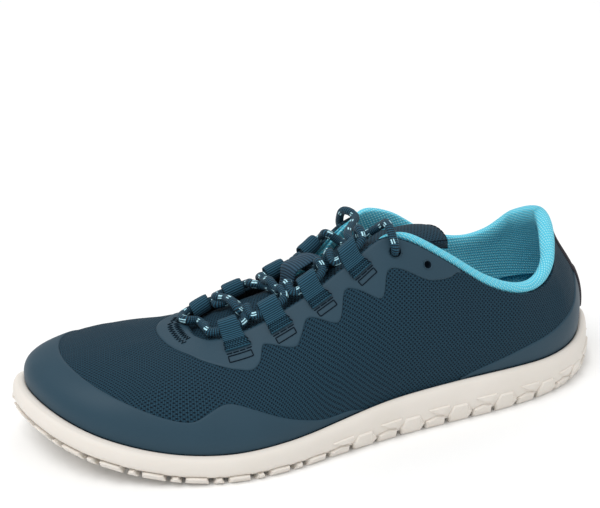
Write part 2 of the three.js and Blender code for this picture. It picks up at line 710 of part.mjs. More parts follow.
function edgeLugs() {
  const blocks = [];
  const run = (from, to, pitch, shapes) => {
    const count = Math.round((to - from) * perimeter / pitch);
    const length = (to - from) / count;
    for (let i = 0; i < count; i++) {
      shapes.forEach((corners) => blocks.push(sideLug(from + i * length, length, corners)));
    }
  };
  run(MOTIF_INNER_END - 1, MOTIF_OUTER_END, MOTIF_LENGTH, SIDE_LUGS);
  run(MOTIF_OUTER_END, MOTIF_INNER_END, FOREFOOT_LUG_LENGTH, [FOREFOOT_LUG]);
  return blocks;
}

// Outer and inner X of the outline at one Y
function spanAt(y) {
  const samples = steps(0, 1, 240).map((turn) => outline(turn).point);
  const near = samples.filter((p) => Math.abs(p.y - y) < SOLE_LENGTH / 100).map((p) => p.x);
  return [Math.min(...near), Math.max(...near)];
}

// Six-sided blocks in staggered rows under the middle of the sole
function treadLugs() {
  const blocks = [];
  const rows = Math.floor((SOLE_LENGTH - 2 * TREAD_MARGIN) / TREAD_ROW);
  for (let i = 0; i <= rows; i++) {
    const y = (i - rows / 2) * TREAD_ROW;
    const [low, high] = spanAt(y);
    const room = high - low - 2 * TREAD_MARGIN - TREAD_RADIUS;
    const count = Math.floor(room / TREAD_ROW) + 1;
    for (let j = 0; j < count; j++) {
      const x = (low + high) / 2 + (j - (count - 1) / 2) * TREAD_ROW;
      const ring = steps(0, 360, 6).slice(1).map((angle) => new THREE.Vector3(
        x + TREAD_RADIUS * Math.cos(angle * RAD),
        y + TREAD_RADIUS * Math.sin(angle * RAD),
        0,
      ));
      const bottom = ring.map((p) => p.clone().setZ(floorAt(p)));
      blocks.push(block(bottom, ring.map((p) => p.clone().setZ(floorAt(p) + LUG_DEPTH + LUG_ROOT))));
    }
  }
  return blocks;
}

function soleGeometry() {
  const parts = [soleBodyGeometry(), ...edgeLugs(), ...treadLugs()];
  return geometryOf(wasm.Manifold.union(parts.map(solidFrom)));
}

// Triangles across a ring from its outer side to its inner side, each as square across as can be
function capFaces(loops, row) {
  const count = loops.length;
  const half = count / 2;
  const outer = steps(0, half, half);
  const inner = steps(0, half, half).map((i) => (count - i) % count);
  const y = (index) => loops[index][row].y;
  const faces = [];
  let [i, j] = [0, 0];
  while (i < half || j < half) {
    const outerNext = j === half || (i < half && y(outer[i + 1]) > y(inner[j + 1]));
    const corner = outerNext ? outer[i + 1] : inner[j + 1];
    if (outer[i] !== inner[j] && corner !== inner[j]) faces.push([outer[i], corner, inner[j]]);
    if (outerNext) i++;
    else j++;
  }
  const size = loops[0].length;
  return faces.map((face) => face.map((index) => index * size + row));
}

// A body whose outer side is a ring of open sections, closed below and above by strips across.
function ringWithCaps(loops) {
  const size = loops[0].length;
  const count = loops.length;
  const faces = [];
  for (let i = 0; i < count; i++) {
    const here = i * size;
    const next = ((i + 1) % count) * size;
    for (let j = 0; j < size - 1; j++) {
      faces.push([here + j, here + j + 1, next + j + 1], [here + j, next + j + 1, next + j]);
    }
  }
  faces.push(...capFaces(loops, 0), ...capFaces(loops, size - 1).map(([a, b, c]) => [a, c, b]));
  return geometryFrom(loops.flat(), faces);
}

// Insole
function insoleGeometry() {
  const loops = RING.map((turn) => {
    const inset = skinInset(turn) + UPPER_WALL + GAP;
    const edge = outline(turn, inset).point;
    const bottom = bedAt(edge.y) + GAP;
    const bevel = outline(turn, inset + 1).point;
    return [
      edge.clone().setZ(bottom),
      edge.clone().setZ(bottom + INSOLE_THICKNESS - 1),
      bevel.setZ(bottom + INSOLE_THICKNESS),
    ];
  });
  return ringWithCaps(loops);
}

// Tongue: rows from its front end under the vamp to the top of the throat.
// crown: how strongly a row bulges between the sides of the throat.
// under: 0 where it lies against the upper, 1 where it lies against the lining.
const TONGUE_ROWS = [
  { turn: 0.460, crown: 0.24, under: 0.25 },
  { turn: 0.410, crown: 0.30, under: 0.25 },
  { turn: 0.365, crown: 0.36, under: 0.40 },
  { turn: 0.325, crown: 0.40, under: 0.50 },
  { turn: 0.295, crown: 0.42, under: 0.60 },
  { turn: 0.265, crown: 0.42, under: 1.12 },
  { turn: 0.235, crown: 0.32, under: 1.12 },
  { turn: 0.212, crown: 0.20, under: 1.12 },
];
const TONGUE_LEVEL = 0.86;
const tongueDepth = (under) => UPPER_WALL + GAP + under * (LINING_THICKNESS + GAP);

// Past the throat the tongue leans back over the foot opening.
// back, up: shares of SOLE_LENGTH and INSTEP_HEIGHT past the last row; half: share of that row's width.
const TONGUE_TOP = [
  { back: 0.040, up: 0.020, half: 0.88 },
  { back: 0.085, up: 0.040, half: 0.80 },
  { back: 0.112, up: 0.040, half: 0.64 },
  { back: 0.128, up: 0.022, half: 0.38 },
];

function tongueRow({ turn, crown, under }, across) {
  const depth = tongueDepth(under);
  const left = skinAt(turn, TONGUE_LEVEL, -depth);
  const right = skinAt(1 - turn, TONGUE_LEVEL, -depth);
  const leftWay = skinAt(turn, 1, -depth).sub(left).normalize();
  const rightWay = skinAt(1 - turn, 1, -depth).sub(right).normalize();
  const reach = left.distanceTo(right) * crown;
  const curve = new THREE.CubicBezierCurve3(
    left,
    left.clone().addScaledVector(leftWay, reach),
    right.clone().addScaledVector(rightWay, reach),
    right,
  );
  return curve.getPoint(across);
}

// A point so far above the tongue's top, at a turn between its rows
function aboveTongue(turn, across, height) {
  const rows = [...TONGUE_ROWS].reverse();
  const at = (t) => ({ turn: t, crown: through(rows, 'crown')(t), under: through(rows, 'under')(t) });
  const point = tongueRow(at(turn), across);
  const way = tongueRow(at(turn - 0.004), across).sub(tongueRow(at(turn + 0.004), across));
  const side = tongueRow(at(turn), across + 0.05).sub(tongueRow(at(turn), across - 0.05));
  const up = way.cross(side).normalize();
  if (up.z < 0) up.negate();
  return point.addScaledVector(up, height);
}

function tongueGeometry() {
  const across = steps(0, 1, 8);
  const rows = TONGUE_ROWS.map((row) => across.map((a) => tongueRow(row, a)));
  const last = rows[rows.length - 1];
  const middle = last[0].clone().add(last[last.length - 1]).multiplyScalar(0.5);
  for (const row of TONGUE_TOP) {
    rows.push(last.map((p) => new THREE.Vector3(
      middle.x + (p.x - middle.x) * row.half,
      p.y + row.back * SOLE_LENGTH,
      p.z + row.up * INSTEP_HEIGHT,
    )));
  }
  const loops = rows.map((row, i) => {
    const before = rows[Math.max(0, i - 1)];
    const after = rows[Math.min(rows.length - 1, i + 1)];
    const under = row.map((p, j) => {
      const side = row[Math.min(row.length - 1, j + 1)].clone().sub(row[Math.max(0, j - 1)]);
      const way = after[j].clone().sub(before[j]);
      const down = side.cross(way).normalize();
      if (down.z > 0) down.negate();
      return p.clone().addScaledVector(down, TONGUE_THICKNESS);
    });
    return [...row, ...under.reverse()];
  });
  return sweep(loops, false);
}

// Lace loops: webbing that comes off the film, turns round the lace and ends under the throat's edge.
// outer, inner: turns of their middles, the inner one counted from the heel by the inner side.
const LOOPS = [
  { outer: 0.318, inner: 0.323 },
  { outer: 0.285, inner: 0.289 },
  { outer: 0.261, inner: 0.261 },
  { outer: 0.234, inner: 0.233 },
];
const LOOP_ANGLES = [125, 72, 19, -34, -87, -140];
const LOOP_RISE = 0.6;
const filmTop = 2.2 * GAP + FILM_THICKNESS;
const loopRadius = (LACE_DIAMETER + WEBBING_THICKNESS) / 2 + LACE_ROOM;
const loopCentre = loopRadius + WEBBING_THICKNESS / 2 + 3 * GAP;

// The way along the top line
const topWay = (turn) => topPoint(turn + 0.004).sub(topPoint(turn - 0.004)).normalize();

function loopGeometry(turn) {
  const lift = filmTop + WEBBING_THICKNESS / 2 + 2.5 * GAP;
  const tail = [-LOOP_TAIL, -LOOP_TAIL / 2, -GAP].map((up) => topAt(turn, up, lift));
  const round = LOOP_ANGLES.map((angle) => topAt(
    turn,
    loopCentre + loopRadius * Math.cos(angle * RAD),
    LOOP_RISE + loopRadius * Math.sin(angle * RAD),
  ));
  const side = topWay(turn);
  const section = webbingSection([...tail, ...round], side);
  return sweep([-1, 1].map((end) => section.map((p) => p.clone().addScaledVector(side, end * LOOP_WIDTH / 2))), false);
}

// Keeper: a webbing bridge along the middle of the tongue, over two bars of the lace
const KEEPER_MIDDLE = 0.515;
const KEEPER_TURNS = [0.270, 0.2665, 0.261, 0.252, 0.2435, 0.238, 0.2345];
const KEEPER_RISE = [0, 0, 1, 1, 1, 0, 0];
const KEEPER_HEIGHT = 8;

function keeperGeometry() {
  const width = tongueRow(TONGUE_ROWS[5], 0).distanceTo(tongueRow(TONGUE_ROWS[5], 1));
  const half = KEEPER_WIDTH / 2 / width;
  const foot = GAP + WEBBING_THICKNESS / 2;
  const sections = steps(-half, half, 2).map((shift) => {
    const points = KEEPER_TURNS.map((turn, i) => aboveTongue(
      turn,
      KEEPER_MIDDLE + shift,
      foot + KEEPER_RISE[i] * KEEPER_HEIGHT,
    ));
    const side = aboveTongue(KEEPER_TURNS[3], KEEPER_MIDDLE + half, 0);
    side.sub(aboveTongue(KEEPER_TURNS[3], KEEPER_MIDDLE - half, 0)).normalize();
    return webbingSection(points, side);
  });
  return sweep(sections, false);
}

// Lace: two runs that start together at the front bar and cross up the throat to the eyelets.
// Each row is a pass through a loop; the last row of a run is its eyelet, above the four loops.
const LACE_RUNS = [
  [
    { side: 'outer', loop: 0 },
    { side: 'inner', loop: 1 },
    { side: 'outer', loop: 2 },
    { side: 'inner', loop: 3 },
    { side: 'outer', loop: 4 },
  ],
  [
    { side: 'inner', loop: 0 },
    { side: 'outer', loop: 1 },
    { side: 'inner', loop: 2 },
    { side: 'outer', loop: 3 },
    { side: 'inner', loop: 4 },
  ],
];
const LACE_SIDES = 6;
const LACE_BAR_SHARES = [0.36, 0.5, 0.64];
const LACE_BEND = 0.7;
const LACE_PAST = 6.2;
const LACE_DIP = 0.3;
const laceRadius = LACE_DIAMETER / 2;
const ownTurn = (side, turn) => (side === 'outer' ? turn : 1 - turn);

// The lace's middle just off a loop's end, and past the loop towards the middle of the throat.
// end: -1 in front of the loop, 1 behind it.
function offLoop({ side, loop }, end, past) {
  const turn = ownTurn(side, LOOPS[loop][side]);
  const forward = side === 'outer' ? -end : end;
  const reach = forward * (LOOP_WIDTH / 2 + laceRadius + LACE_BEND);
  return topAt(turn, loopCentre + past, LOOP_RISE - past * LACE_DIP).addScaledVector(topWay(turn), reach);
}

// The lace's middle from above the lining down to the eyelet.
// up: share of LACE_DIAMETER above the top line; out: share of the lace's distance from the skin.
const EYELET_WAY = [
  { up: 1.85, out: -1.70 },
  { up: 1.65, out: -0.10 },
  { up: 0.85, out: 0.95 },
];

function toEyelet(side) {
  const { turn, level } = HOLES[0];
  const own = ownTurn(side, turn);
  const lift = filmTop + laceRadius + 2 * GAP;
  const over = EYELET_WAY.map(({ up, out }) => topAt(own, up * LACE_DIAMETER, out * lift));
  return [...over, facetAt(own, level, lift)];
}

// The middle part of a bar, over the tongue
function barPoints(from, fromTurn, toTurn) {
  const height = laceRadius + 3 * GAP;
  return LACE_BAR_SHARES.map((way) => (
    aboveTongue(fromTurn + (toTurn - fromTurn) * way, from === 'outer' ? way : 1 - way, height)
  ));
}

// The turn, counted on the shoe's outer side, at which the lace stands off a loop's end
function offTurn({ side, loop }, end) {
  if (loop === LOOPS.length) return HOLES[0].turn + 0.008;
  const turn = LOOPS[loop][side];
  const own = ownTurn(side, turn);
  const rate = 0.004 / topPoint(own - 0.002).distanceTo(topPoint(own + 0.002));
  return turn - end * rate * (LOOP_WIDTH / 2 + laceRadius + LACE_BEND);
}

function lacePoints(run) {
  const points = [];
  run.forEach((pass, i) => {
    if (pass.loop === LOOPS.length) {
      points.push(...toEyelet(pass.side));
      return;
    }
    points.push(offLoop(pass, -1, LACE_PAST), offLoop(pass, -1, 0), offLoop(pass, 1, 0), offLoop(pass, 1, LACE_PAST));
    const next = run[i + 1];
    const bar = barPoints(pass.side, offTurn(pass, 1), offTurn(next, -1));
    points.push(...(next.loop < LOOPS.length ? bar : bar.slice(0, -1)));
  });
  return points;
}

// A path that goes straight from one of its points to the next, one step of the sweep each
class PointPath extends THREE.Curve {
  constructor(points) {
    super();
    this.points = points;
  }

  getPointAt(share) {
    return this.points[Math.round(share * (this.points.length - 1))].clone();
  }

  getTangentAt(share) {
    const last = this.points.length - 1;
    const i = Math.round(share * last);
    const after = this.points[Math.min(last, i + 1)].clone().sub(this.points[i]).normalize();
    const before = this.points[i].clone().sub(this.points[Math.max(0, i - 1)]).normalize();
    return after.add(before).normalize();
  }
}

function laceGeometry() {
  const shape = new THREE.Shape(steps(0, 360, LACE_SIDES).slice(1).map((angle) => (
    new THREE.Vector2(laceRadius * Math.cos(angle * RAD), laceRadius * Math.sin(angle * RAD))
  )));
  const [first, second] = LACE_RUNS.map(lacePoints);
  const [outer, inner] = LACE_RUNS.map(([pass]) => pass);
  const front = barPoints(outer.side, offTurn(outer, -1), offTurn(inner, -1));
  const start = [offLoop(inner, -1, 0), offLoop(inner, -1, LACE_PAST), ...front.reverse()];
  const runs = [[...start, ...first], second.slice(1)];
  return geometryOf(wasm.Manifold.union(runs.map((points) => solidFrom(new THREE.ExtrudeGeometry(shape, {
    steps: points.length - 1,
    bevelEnabled: false,
    extrudePath: new PointPath(points),
  })))));
}

// Assembly
const material = (color, roughness) => new THREE.MeshStandardMaterial({ color, roughness, metalness: 0 });
const materials = {
  rubber: material(0xe6e0d6, 0.55),
  mesh: material(0x1f3648, 0.85),
  film: material(0x3a5062, 0.6),
  tape: material(0x3b3a42, 0.8),
  foam: material(0x2b9fbd, 0.9),
  knit: material(0x4fc3df, 0.9),
  webbing: material(0x1f4a5e, 0.8),
  cord: material(0x1d4a60, 0.7),
};

const shoe = new THREE.Group();
function add(name, geometry, finish) {
  const mesh = new THREE.Mesh(geometry, finish);
  mesh.name = name;
  shoe.add(mesh);
  return mesh;
}

add('sole', soleGeometry(), materials.rubber);
add('insole', insoleGeometry(), materials.foam);
add('upper', upperGeometry(), materials.mesh);
add('tongue', tongueGeometry(), materials.mesh);
add('toe_guard', toeGuardGeometry(), materials.film);
add('eyestay', eyestayGeometry(), materials.film);
add('heel_counter', counterGeometry(), materials.film);
add('heel_tape', tapeGeometry(), materials.tape);
add('collar_lining', liningGeometry(), materials.knit);
LOOPS.forEach((loop, i) => {
  add(`lace_loop_outer_${i + 1}`, loopGeometry(loop.outer), materials.webbing);
  add(`lace_loop_inner_${i + 1}`, loopGeometry(1 - loop.inner), materials.webbing);
});
add('tongue_keeper', keeperGeometry(), materials.webbing);
add('lace', laceGeometry(), materials.cord);

// The origin lies on the floor under the middle of the shoe's box
const box = new THREE.Box3().setFromObject(shoe, true);
const middle = box.getCenter(new THREE.Vector3());
shoe.position.set(-middle.x, -middle.y, -box.min.z);

export default shoe;
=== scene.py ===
"""Looks for the left barefoot sports shoe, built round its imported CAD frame.

Metres, Z up, toe towards -Y, outer side of the foot towards +X.
The shoe's surface is addressed by a turn (share of the way round the sole, from the heel by the
outer side, the toe at one half) and a level (0 at the sole's rim, 1 at the top line).
"""

import math

import bpy
import numpy as np
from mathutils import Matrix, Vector


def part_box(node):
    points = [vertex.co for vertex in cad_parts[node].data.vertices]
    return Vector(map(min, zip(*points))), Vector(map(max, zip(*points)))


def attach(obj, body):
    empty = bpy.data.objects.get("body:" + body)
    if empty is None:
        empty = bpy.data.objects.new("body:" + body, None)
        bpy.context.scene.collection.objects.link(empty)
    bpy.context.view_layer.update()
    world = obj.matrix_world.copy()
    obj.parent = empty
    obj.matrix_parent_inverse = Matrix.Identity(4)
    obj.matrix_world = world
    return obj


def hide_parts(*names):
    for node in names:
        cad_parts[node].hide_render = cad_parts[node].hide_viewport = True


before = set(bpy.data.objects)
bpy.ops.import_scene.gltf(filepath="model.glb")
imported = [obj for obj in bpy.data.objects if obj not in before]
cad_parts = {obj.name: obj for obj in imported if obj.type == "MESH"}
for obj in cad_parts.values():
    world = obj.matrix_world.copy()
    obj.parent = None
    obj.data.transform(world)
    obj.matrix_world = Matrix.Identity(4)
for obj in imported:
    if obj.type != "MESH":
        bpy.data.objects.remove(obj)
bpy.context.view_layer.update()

MM = 0.001

# Camera: a pinhole that sees the shoe as the photo does
FOCAL_PIXELS = 1400
IMAGE_WIDTH = 600
SENSOR_WIDTH = 36
CAMERA_AZIMUTH = 66
CAMERA_ELEVATION = 22
CAMERA_DISTANCE = 782 * MM
CAMERA_AIM = Vector((-130.8 * MM, 42.02 * MM, 20 * MM))

# Driving sizes. FILM_THICKNESS, LOOP_TAIL and LOOP_WAIST are the scene's own, the rest the CAD source's
SOLE_LENGTH = 288 * MM
BALL_WIDTH = 101 * MM
HEEL_WIDTH = 72 * MM
INSTEP_HEIGHT = 86 * MM
RIM_HEIGHT = 20 * MM
RIM_THICKNESS = 4.6 * MM
BED_HEIGHT = 7.5 * MM
LUG_DEPTH = 2.6 * MM
TOE_SPRING = 16 * MM
HEEL_SPRING = 1.2 * MM
UPPER_WALL = 2.2 * MM
INSOLE_THICKNESS = 3.5 * MM
TONGUE_THICKNESS = 4 * MM
FILM_THICKNESS = 0.5 * MM
TAPE_THICKNESS = 1.2 * MM
TAPE_WIDTH = 15 * MM
ROLL_RADIUS = 2.6 * MM
HEEL_ROLL_RADIUS = 4.6 * MM
LINING_THICKNESS = 2 * MM
LACE_DIAMETER = 4.2 * MM
LACE_ROOM = 0.7 * MM
WEBBING_THICKNESS = 1.2 * MM
LOOP_WIDTH = 11 * MM
LOOP_TAIL = 6.8 * MM
LOOP_WAIST = 0.84
KEEPER_WIDTH = 10.6 * MM
EYELET_DIAMETER = 5 * MM
PUNCH_DIAMETER = 3.4 * MM
GAP = 0.3 * MM
FLAT_FROM = 0.055
FLAT_TO = 0.72

# Plan of the sole: share of the length from the heel; outer and inner half, shares of the width there
SOLE_PLAN = [
    (0.03, 0.225, 0.215),
    (0.08, 0.430, 0.325),
    (0.15, 0.565, 0.410),
    (0.25, 0.630, 0.377),
    (0.35, 0.597, 0.315),
    (0.45, 0.551, 0.287),
    (0.55, 0.540, 0.313),
    (0.65, 0.564, 0.391),
    (0.72, 0.564, 0.441),
    (0.80, 0.510, 0.470),
    (0.88, 0.406, 0.465),
    (0.94, 0.275, 0.440),
    (0.98, 0.095, 0.375),
]
HEEL_CENTRE = 0
TOE_TIP = -0.165

# Side wall: turn; height, share of RIM_HEIGHT; thickness, share of RIM_THICKNESS
SIDE_WALL = [
    (0.00, 1.00, 1.00),
    (0.08, 0.90, 1.00),
    (0.15, 0.97, 1.00),
    (0.22, 0.90, 1.00),
    (0.28, 0.68, 1.00),
    (0.36, 0.60, 1.00),
    (0.44, 0.58, 1.20),
    (0.50, 0.55, 1.28),
    (0.58, 0.58, 1.25),
    (0.68, 0.62, 1.10),
    (0.76, 0.66, 1.00),
    (0.84, 0.80, 1.00),
    (0.92, 0.90, 1.00),
]

# Section of the side wall: height, share of the wall's; inset, share of RIM_THICKNESS
WALL_SECTION = [
    (0.00, 0.45),
    (0.16, 0.10),
    (0.45, 0.00),
    (0.80, 0.15),
    (0.96, 0.40),
    (1.00, 0.62),
]

# Ribs of the upper: turn; across, along and up, where the rib ends at the top line; rise and lean, its
# handle at the rim; over and drop (degrees), its handle at the top line
TOP_LINE = [
    (0.000, -0.030, 0.080, 0.802, 0.28, 0.025, 0.15, 78),
    (0.055, 0.178, 0.111, 0.657, 0.23, 0.035, 0.13, 76),
    (0.085, 0.267, 0.149, 0.587, 0.19, 0.030, 0.13, 76),
    (0.115, 0.327, 0.208, 0.599, 0.19, 0.020, 0.14, 72),
    (0.140, 0.337, 0.271, 0.686, 0.21, 0.020, 0.18, 70),
    (0.170, 0.297, 0.340, 0.849, 0.25, 0.020, 0.25, 62),
    (0.195, 0.248, 0.399, 0.971, 0.26, 0.020, 0.29, 56),
    (0.212, 0.208, 0.441, 1.000, 0.26, 0.020, 0.30, 52),
    (0.235, 0.195, 0.493, 0.890, 0.23, 0.020, 0.28, 48),
    (0.265, 0.198, 0.569, 0.745, 0.20, 0.020, 0.23, 42),
    (0.295, 0.188, 0.646, 0.630, 0.16, 0.030, 0.23, 34),
    (0.330, 0.155, 0.703, 0.570, 0.15, 0.025, 0.26, 24),
    (0.400, 0.079, 0.730, 0.556, 0.15, 0.030, 0.40, 13),
    (0.500, -0.020, 0.733, 0.563, 0.22, 0.045, 0.50, 8),
    (0.600, -0.112, 0.732, 0.568, 0.24, 0.020, 0.30, 9),
    (0.670, -0.160, 0.707, 0.578, 0.24, 0.010, 0.16, 18),
    (0.705, -0.168, 0.653, 0.622, 0.24, 0.030, 0.17, 34),
    (0.735, -0.165, 0.576, 0.686, 0.25, 0.050, 0.19, 44),
    (0.765, -0.172, 0.513, 0.765, 0.27, 0.070, 0.21, 54),
    (0.788, -0.208, 0.448, 0.905, 0.30, 0.080, 0.25, 60),
    (0.805, -0.245, 0.403, 0.930, 0.30, 0.085, 0.22, 66),
    (0.830, -0.287, 0.340, 0.850, 0.29, 0.080, 0.20, 76),
    (0.860, -0.297, 0.271, 0.700, 0.24, 0.055, 0.16, 80),
    (0.885, -0.287, 0.215, 0.640, 0.21, 0.045, 0.14, 82),
    (0.915, -0.257, 0.160, 0.664, 0.21, 0.040, 0.14, 80),
    (0.945, -0.198, 0.118, 0.755, 0.23, 0.040, 0.14, 78),
]

# Edges of the films: turn on the outer side (mirrored to the inner side), level
EYESTAY_EDGE = [
    (0.1620, 0.965),
    (0.1710, 0.880),
    (0.1810, 0.810),
    (0.1900, 0.780),
    (0.2080, 0.810),
    (0.2150, 0.800),
    (0.2200, 0.690),
    (0.2240, 0.690),
    (0.2370, 0.830),
    (0.2440, 0.860),
    (0.2500, 0.720),
    (0.2540, 0.710),
    (0.2660, 0.830),
    (0.2700, 0.840),
    (0.2755, 0.755),
    (0.2800, 0.710),
    (0.2950, 0.825),
    (0.2985, 0.830),
    (0.3040, 0.730),
    (0.3110, 0.690),
    (0.3225, 0.725),
    (0.3440, 0.790),
    (0.3700, 0.835),
    (0.4100, 0.870),
    (0.5000, 0.885),
]
TOE_GUARD_EDGE = [
    (0.2400, 0.010),
    (0.2500, 0.045),
    (0.2690, 0.075),
    (0.2850, 0.160),
    (0.3000, 0.260),
    (0.3130, 0.360),
    (0.3250, 0.440),
    (0.3350, 0.480),
    (0.3440, 0.470),
    (0.3530, 0.420),
    (0.3630, 0.355),
    (0.3750, 0.350),
    (0.4000, 0.385),
    (0.4400, 0.430),
    (0.5000, 0.450),
]
COUNTER_EDGE = [
    (0.0000, 0.400),
    (0.0450, 0.350),
    (0.0790, 0.320),
    (0.1060, 0.240),
    (0.1360, 0.110),
    (0.1550, 0.045),
    (0.1660, 0.010),
]

# Collar lining: turn; roll, share of its full radius; up, its centre above the top line in its own
# radii; in, its centre's share of UPPER_WALL in from the skin; foot, level of the cloth's lower end
LINING_ROWS = [
    (0.000, 1.00, 1.08, 1.95, 0.32),
    (0.060, 1.00, 1.10, 1.50, 0.32),
    (0.188, 1.00, 1.14, 1.10, 0.32),
    (0.208, 0.36, 1.45, 1.60, 0.50),
    (0.224, 0.36, -2.60, 1.60, 0.68),
    (0.250, 0.36, -2.60, 1.60, 0.68),
]
LINING_END = 0.251

# Tongue: turn, crown (how strongly a row bulges), under (0 against the upper, 1 against the lining)
TONGUE_ROWS = [
    (0.212, 0.20, 1.12),
    (0.235, 0.32, 1.12),
    (0.265, 0.42, 1.12),
    (0.295, 0.42, 0.60),
    (0.325, 0.40, 0.50),
    (0.365, 0.36, 0.40),
    (0.410, 0.30, 0.25),
    (0.460, 0.24, 0.25),
]
TONGUE_LEVEL = 0.86
# Free end of the tongue: back and up past the last row (shares of SOLE_LENGTH, INSTEP_HEIGHT), width
TONGUE_TOP = [
    (0.000, 0.000, 1.00),
    (0.040, 0.020, 0.91),
    (0.085, 0.040, 0.87),
    (0.112, 0.038, 0.80),
    (0.130, 0.018, 0.62),
]

# Lace loops: turns of their middles on the outer and on the inner side
LOOPS = [(0.318, 0.323), (0.285, 0.289), (0.261, 0.261), (0.234, 0.233)]
# How far back, in turns, the lower end of each loop's tail leans
TAIL_LEAN = [0.0004, 0.0012, 0.0030, 0.0040]
LOOP_RISE = 0.6 * MM
LACE_RADIUS = LACE_DIAMETER / 2
LOOP_RADIUS = (LACE_DIAMETER + WEBBING_THICKNESS) / 2 + LACE_ROOM
LOOP_CENTRE = LOOP_RADIUS + WEBBING_THICKNESS / 2 + 3 * GAP

# Holes: turn, level, diameter. The lace ends in the first of each side.
HOLES = [(0.2067, 0.91, EYELET_DIAMETER), (0.1867, 0.89, PUNCH_DIAMETER)]

# Keeper: turns along the tongue, and its height above it there, as a share of KEEPER_HEIGHT
KEEPER_TURNS = [0.270, 0.2665, 0.261, 0.252, 0.2435, 0.238, 0.2345]
KEEPER_RISE = [0, 0, 1, 1, 1, 0, 0]
KEEPER_HEIGHT = 8 * MM
KEEPER_MIDDLE = 0.515

# Soft creases on the upper: two ends (turn, level), half width in mm, depth in mm (ridges above 0)
CREASES = [
    (0.425, 0.62, 0.470, 0.72, 5.0, -0.35),
    (0.405, 0.56, 0.450, 0.66, 4.0, 0.30),
    (0.440, 0.72, 0.490, 0.80, 4.5, 0.25),
    (0.545, 0.66, 0.600, 0.74, 5.0, -0.40),
    (0.330, 0.62, 0.300, 0.40, 7.0, -0.35),
    (0.150, 0.60, 0.185, 0.40, 9.0, -0.40),
    (0.120, 0.70, 0.130, 0.40, 8.0, 0.35),
    (0.700, 0.55, 0.690, 0.20, 8.0, -0.45),
    (0.850, 0.70, 0.835, 0.30, 9.0, -0.40),
]


# Curves through tables


def column(rows, index):
    return np.array([row[index] for row in rows], float)


def as_arrays(*values):
    return np.broadcast_arrays(*[np.asarray(value, float) for value in values])


def run_lengths(points):
    steps = np.linalg.norm(np.diff(points, axis=0), axis=1)
    return np.concatenate([[0], np.cumsum(steps)])


def points_at(path, run, at):
    """Points of a path at distances along it; run holds the distances of its own points."""
    return np.stack([np.interp(at, run, path[:, i]) for i in range(3)], axis=1)


def soften(points, passes, axis=0):
    """Evens out a run of points in place; its two ends stay."""
    run = np.moveaxis(points, axis, 0)
    for _ in range(passes):
        run[1:-1] = (run[:-2] + 2 * run[1:-1] + run[2:]) / 4


def hermite(turns, values, slopes, t):
    i = np.clip(np.searchsorted(turns, t, side="right") - 1, 0, len(turns) - 2)
    span = turns[i + 1] - turns[i]
    s = (t - turns[i]) / span
    a, b = values[i], values[i + 1]
    bend = (2 * s**3 - 3 * s**2) * (a - b)
    return a + bend + span * ((s**3 - 2 * s**2 + s) * slopes[i] + (s**3 - s**2) * slopes[i + 1])


def middle_slopes(turns, values):
    slopes = np.zeros(len(turns))
    slopes[1:-1] = (values[2:] - values[:-2]) / (turns[2:] - turns[:-2])
    return slopes


def around(rows, index):
    """A smooth closed curve of one number through a table whose rows lie at their turns."""
    turns = column(rows, 0)
    turns = np.concatenate([turns - 1, turns, turns + 1])
    values = np.tile(column(rows, index), 3)
    slopes = middle_slopes(turns, values)
    return lambda turn: hermite(turns, values, slopes, np.mod(turn, 1.0))


def through(rows, index):
    """A smooth open curve of one number through a table, flat past its ends."""
    turns = column(rows, 0)
    values = column(rows, index)
    slopes = middle_slopes(turns, values)
    return lambda turn: hermite(turns, values, slopes, np.clip(turn, turns[0], turns[-1]))


def smoothstep(low, high, x):
    t = np.clip((x - low) / (high - low), 0, 1)
    return t * t * (3 - 2 * t)


def unit(v):
    return v / np.maximum(np.linalg.norm(v, axis=-1, keepdims=True), 1e-12)


def vector(x, y, z):
    return np.stack(np.broadcast_arrays(x, y, z), axis=-1).astype(float)


def catmull_rom(points, closed, per_span):
    """A centripetal Catmull-Rom curve, per_span points for each of its spans."""
    points = np.asarray(points, float)
    if closed:
        points = np.concatenate([points[-1:], points, points[:2]])
    else:
        before = 2 * points[:1] - points[1:2]
        after = 2 * points[-1:] - points[-2:-1]
        points = np.concatenate([before, points, after])
    out = []
    s = np.arange(per_span)[:, None] / per_span
    for a, b, c, d in zip(points, points[1:], points[2:], points[3:]):
        steps = [max(np.linalg.norm(q - p) ** 0.5, 1e-5) for p, q in ((a, b), (b, c), (c, d))]
        first = (b - a) / steps[0] - (c - a) / (steps[0] + steps[1]) + (c - b) / steps[1]
        last = (c - b) / steps[1] - (d - b) / (steps[1] + steps[2]) + (d - c) / steps[2]
        first, last = first * steps[1], last * steps[1]
        out.append(
            b
            + s * first
            + s**2 * (-3 * b + 3 * c - 2 * first - last)
            + s**3 * (2 * b - 2 * c + first + last)
        )
    if not closed:
        out.append(points[-2:-1])
    return np.concatenate(out)


# Plan of the sole


def y_at(along):
    return SOLE_LENGTH * (0.5 - along)


def along_at(y):
    return 0.5 - y / SOLE_LENGTH


def width_at(along):
    return HEEL_WIDTH + (BALL_WIDTH - HEEL_WIDTH) * smoothstep(0.2, 0.65, along)


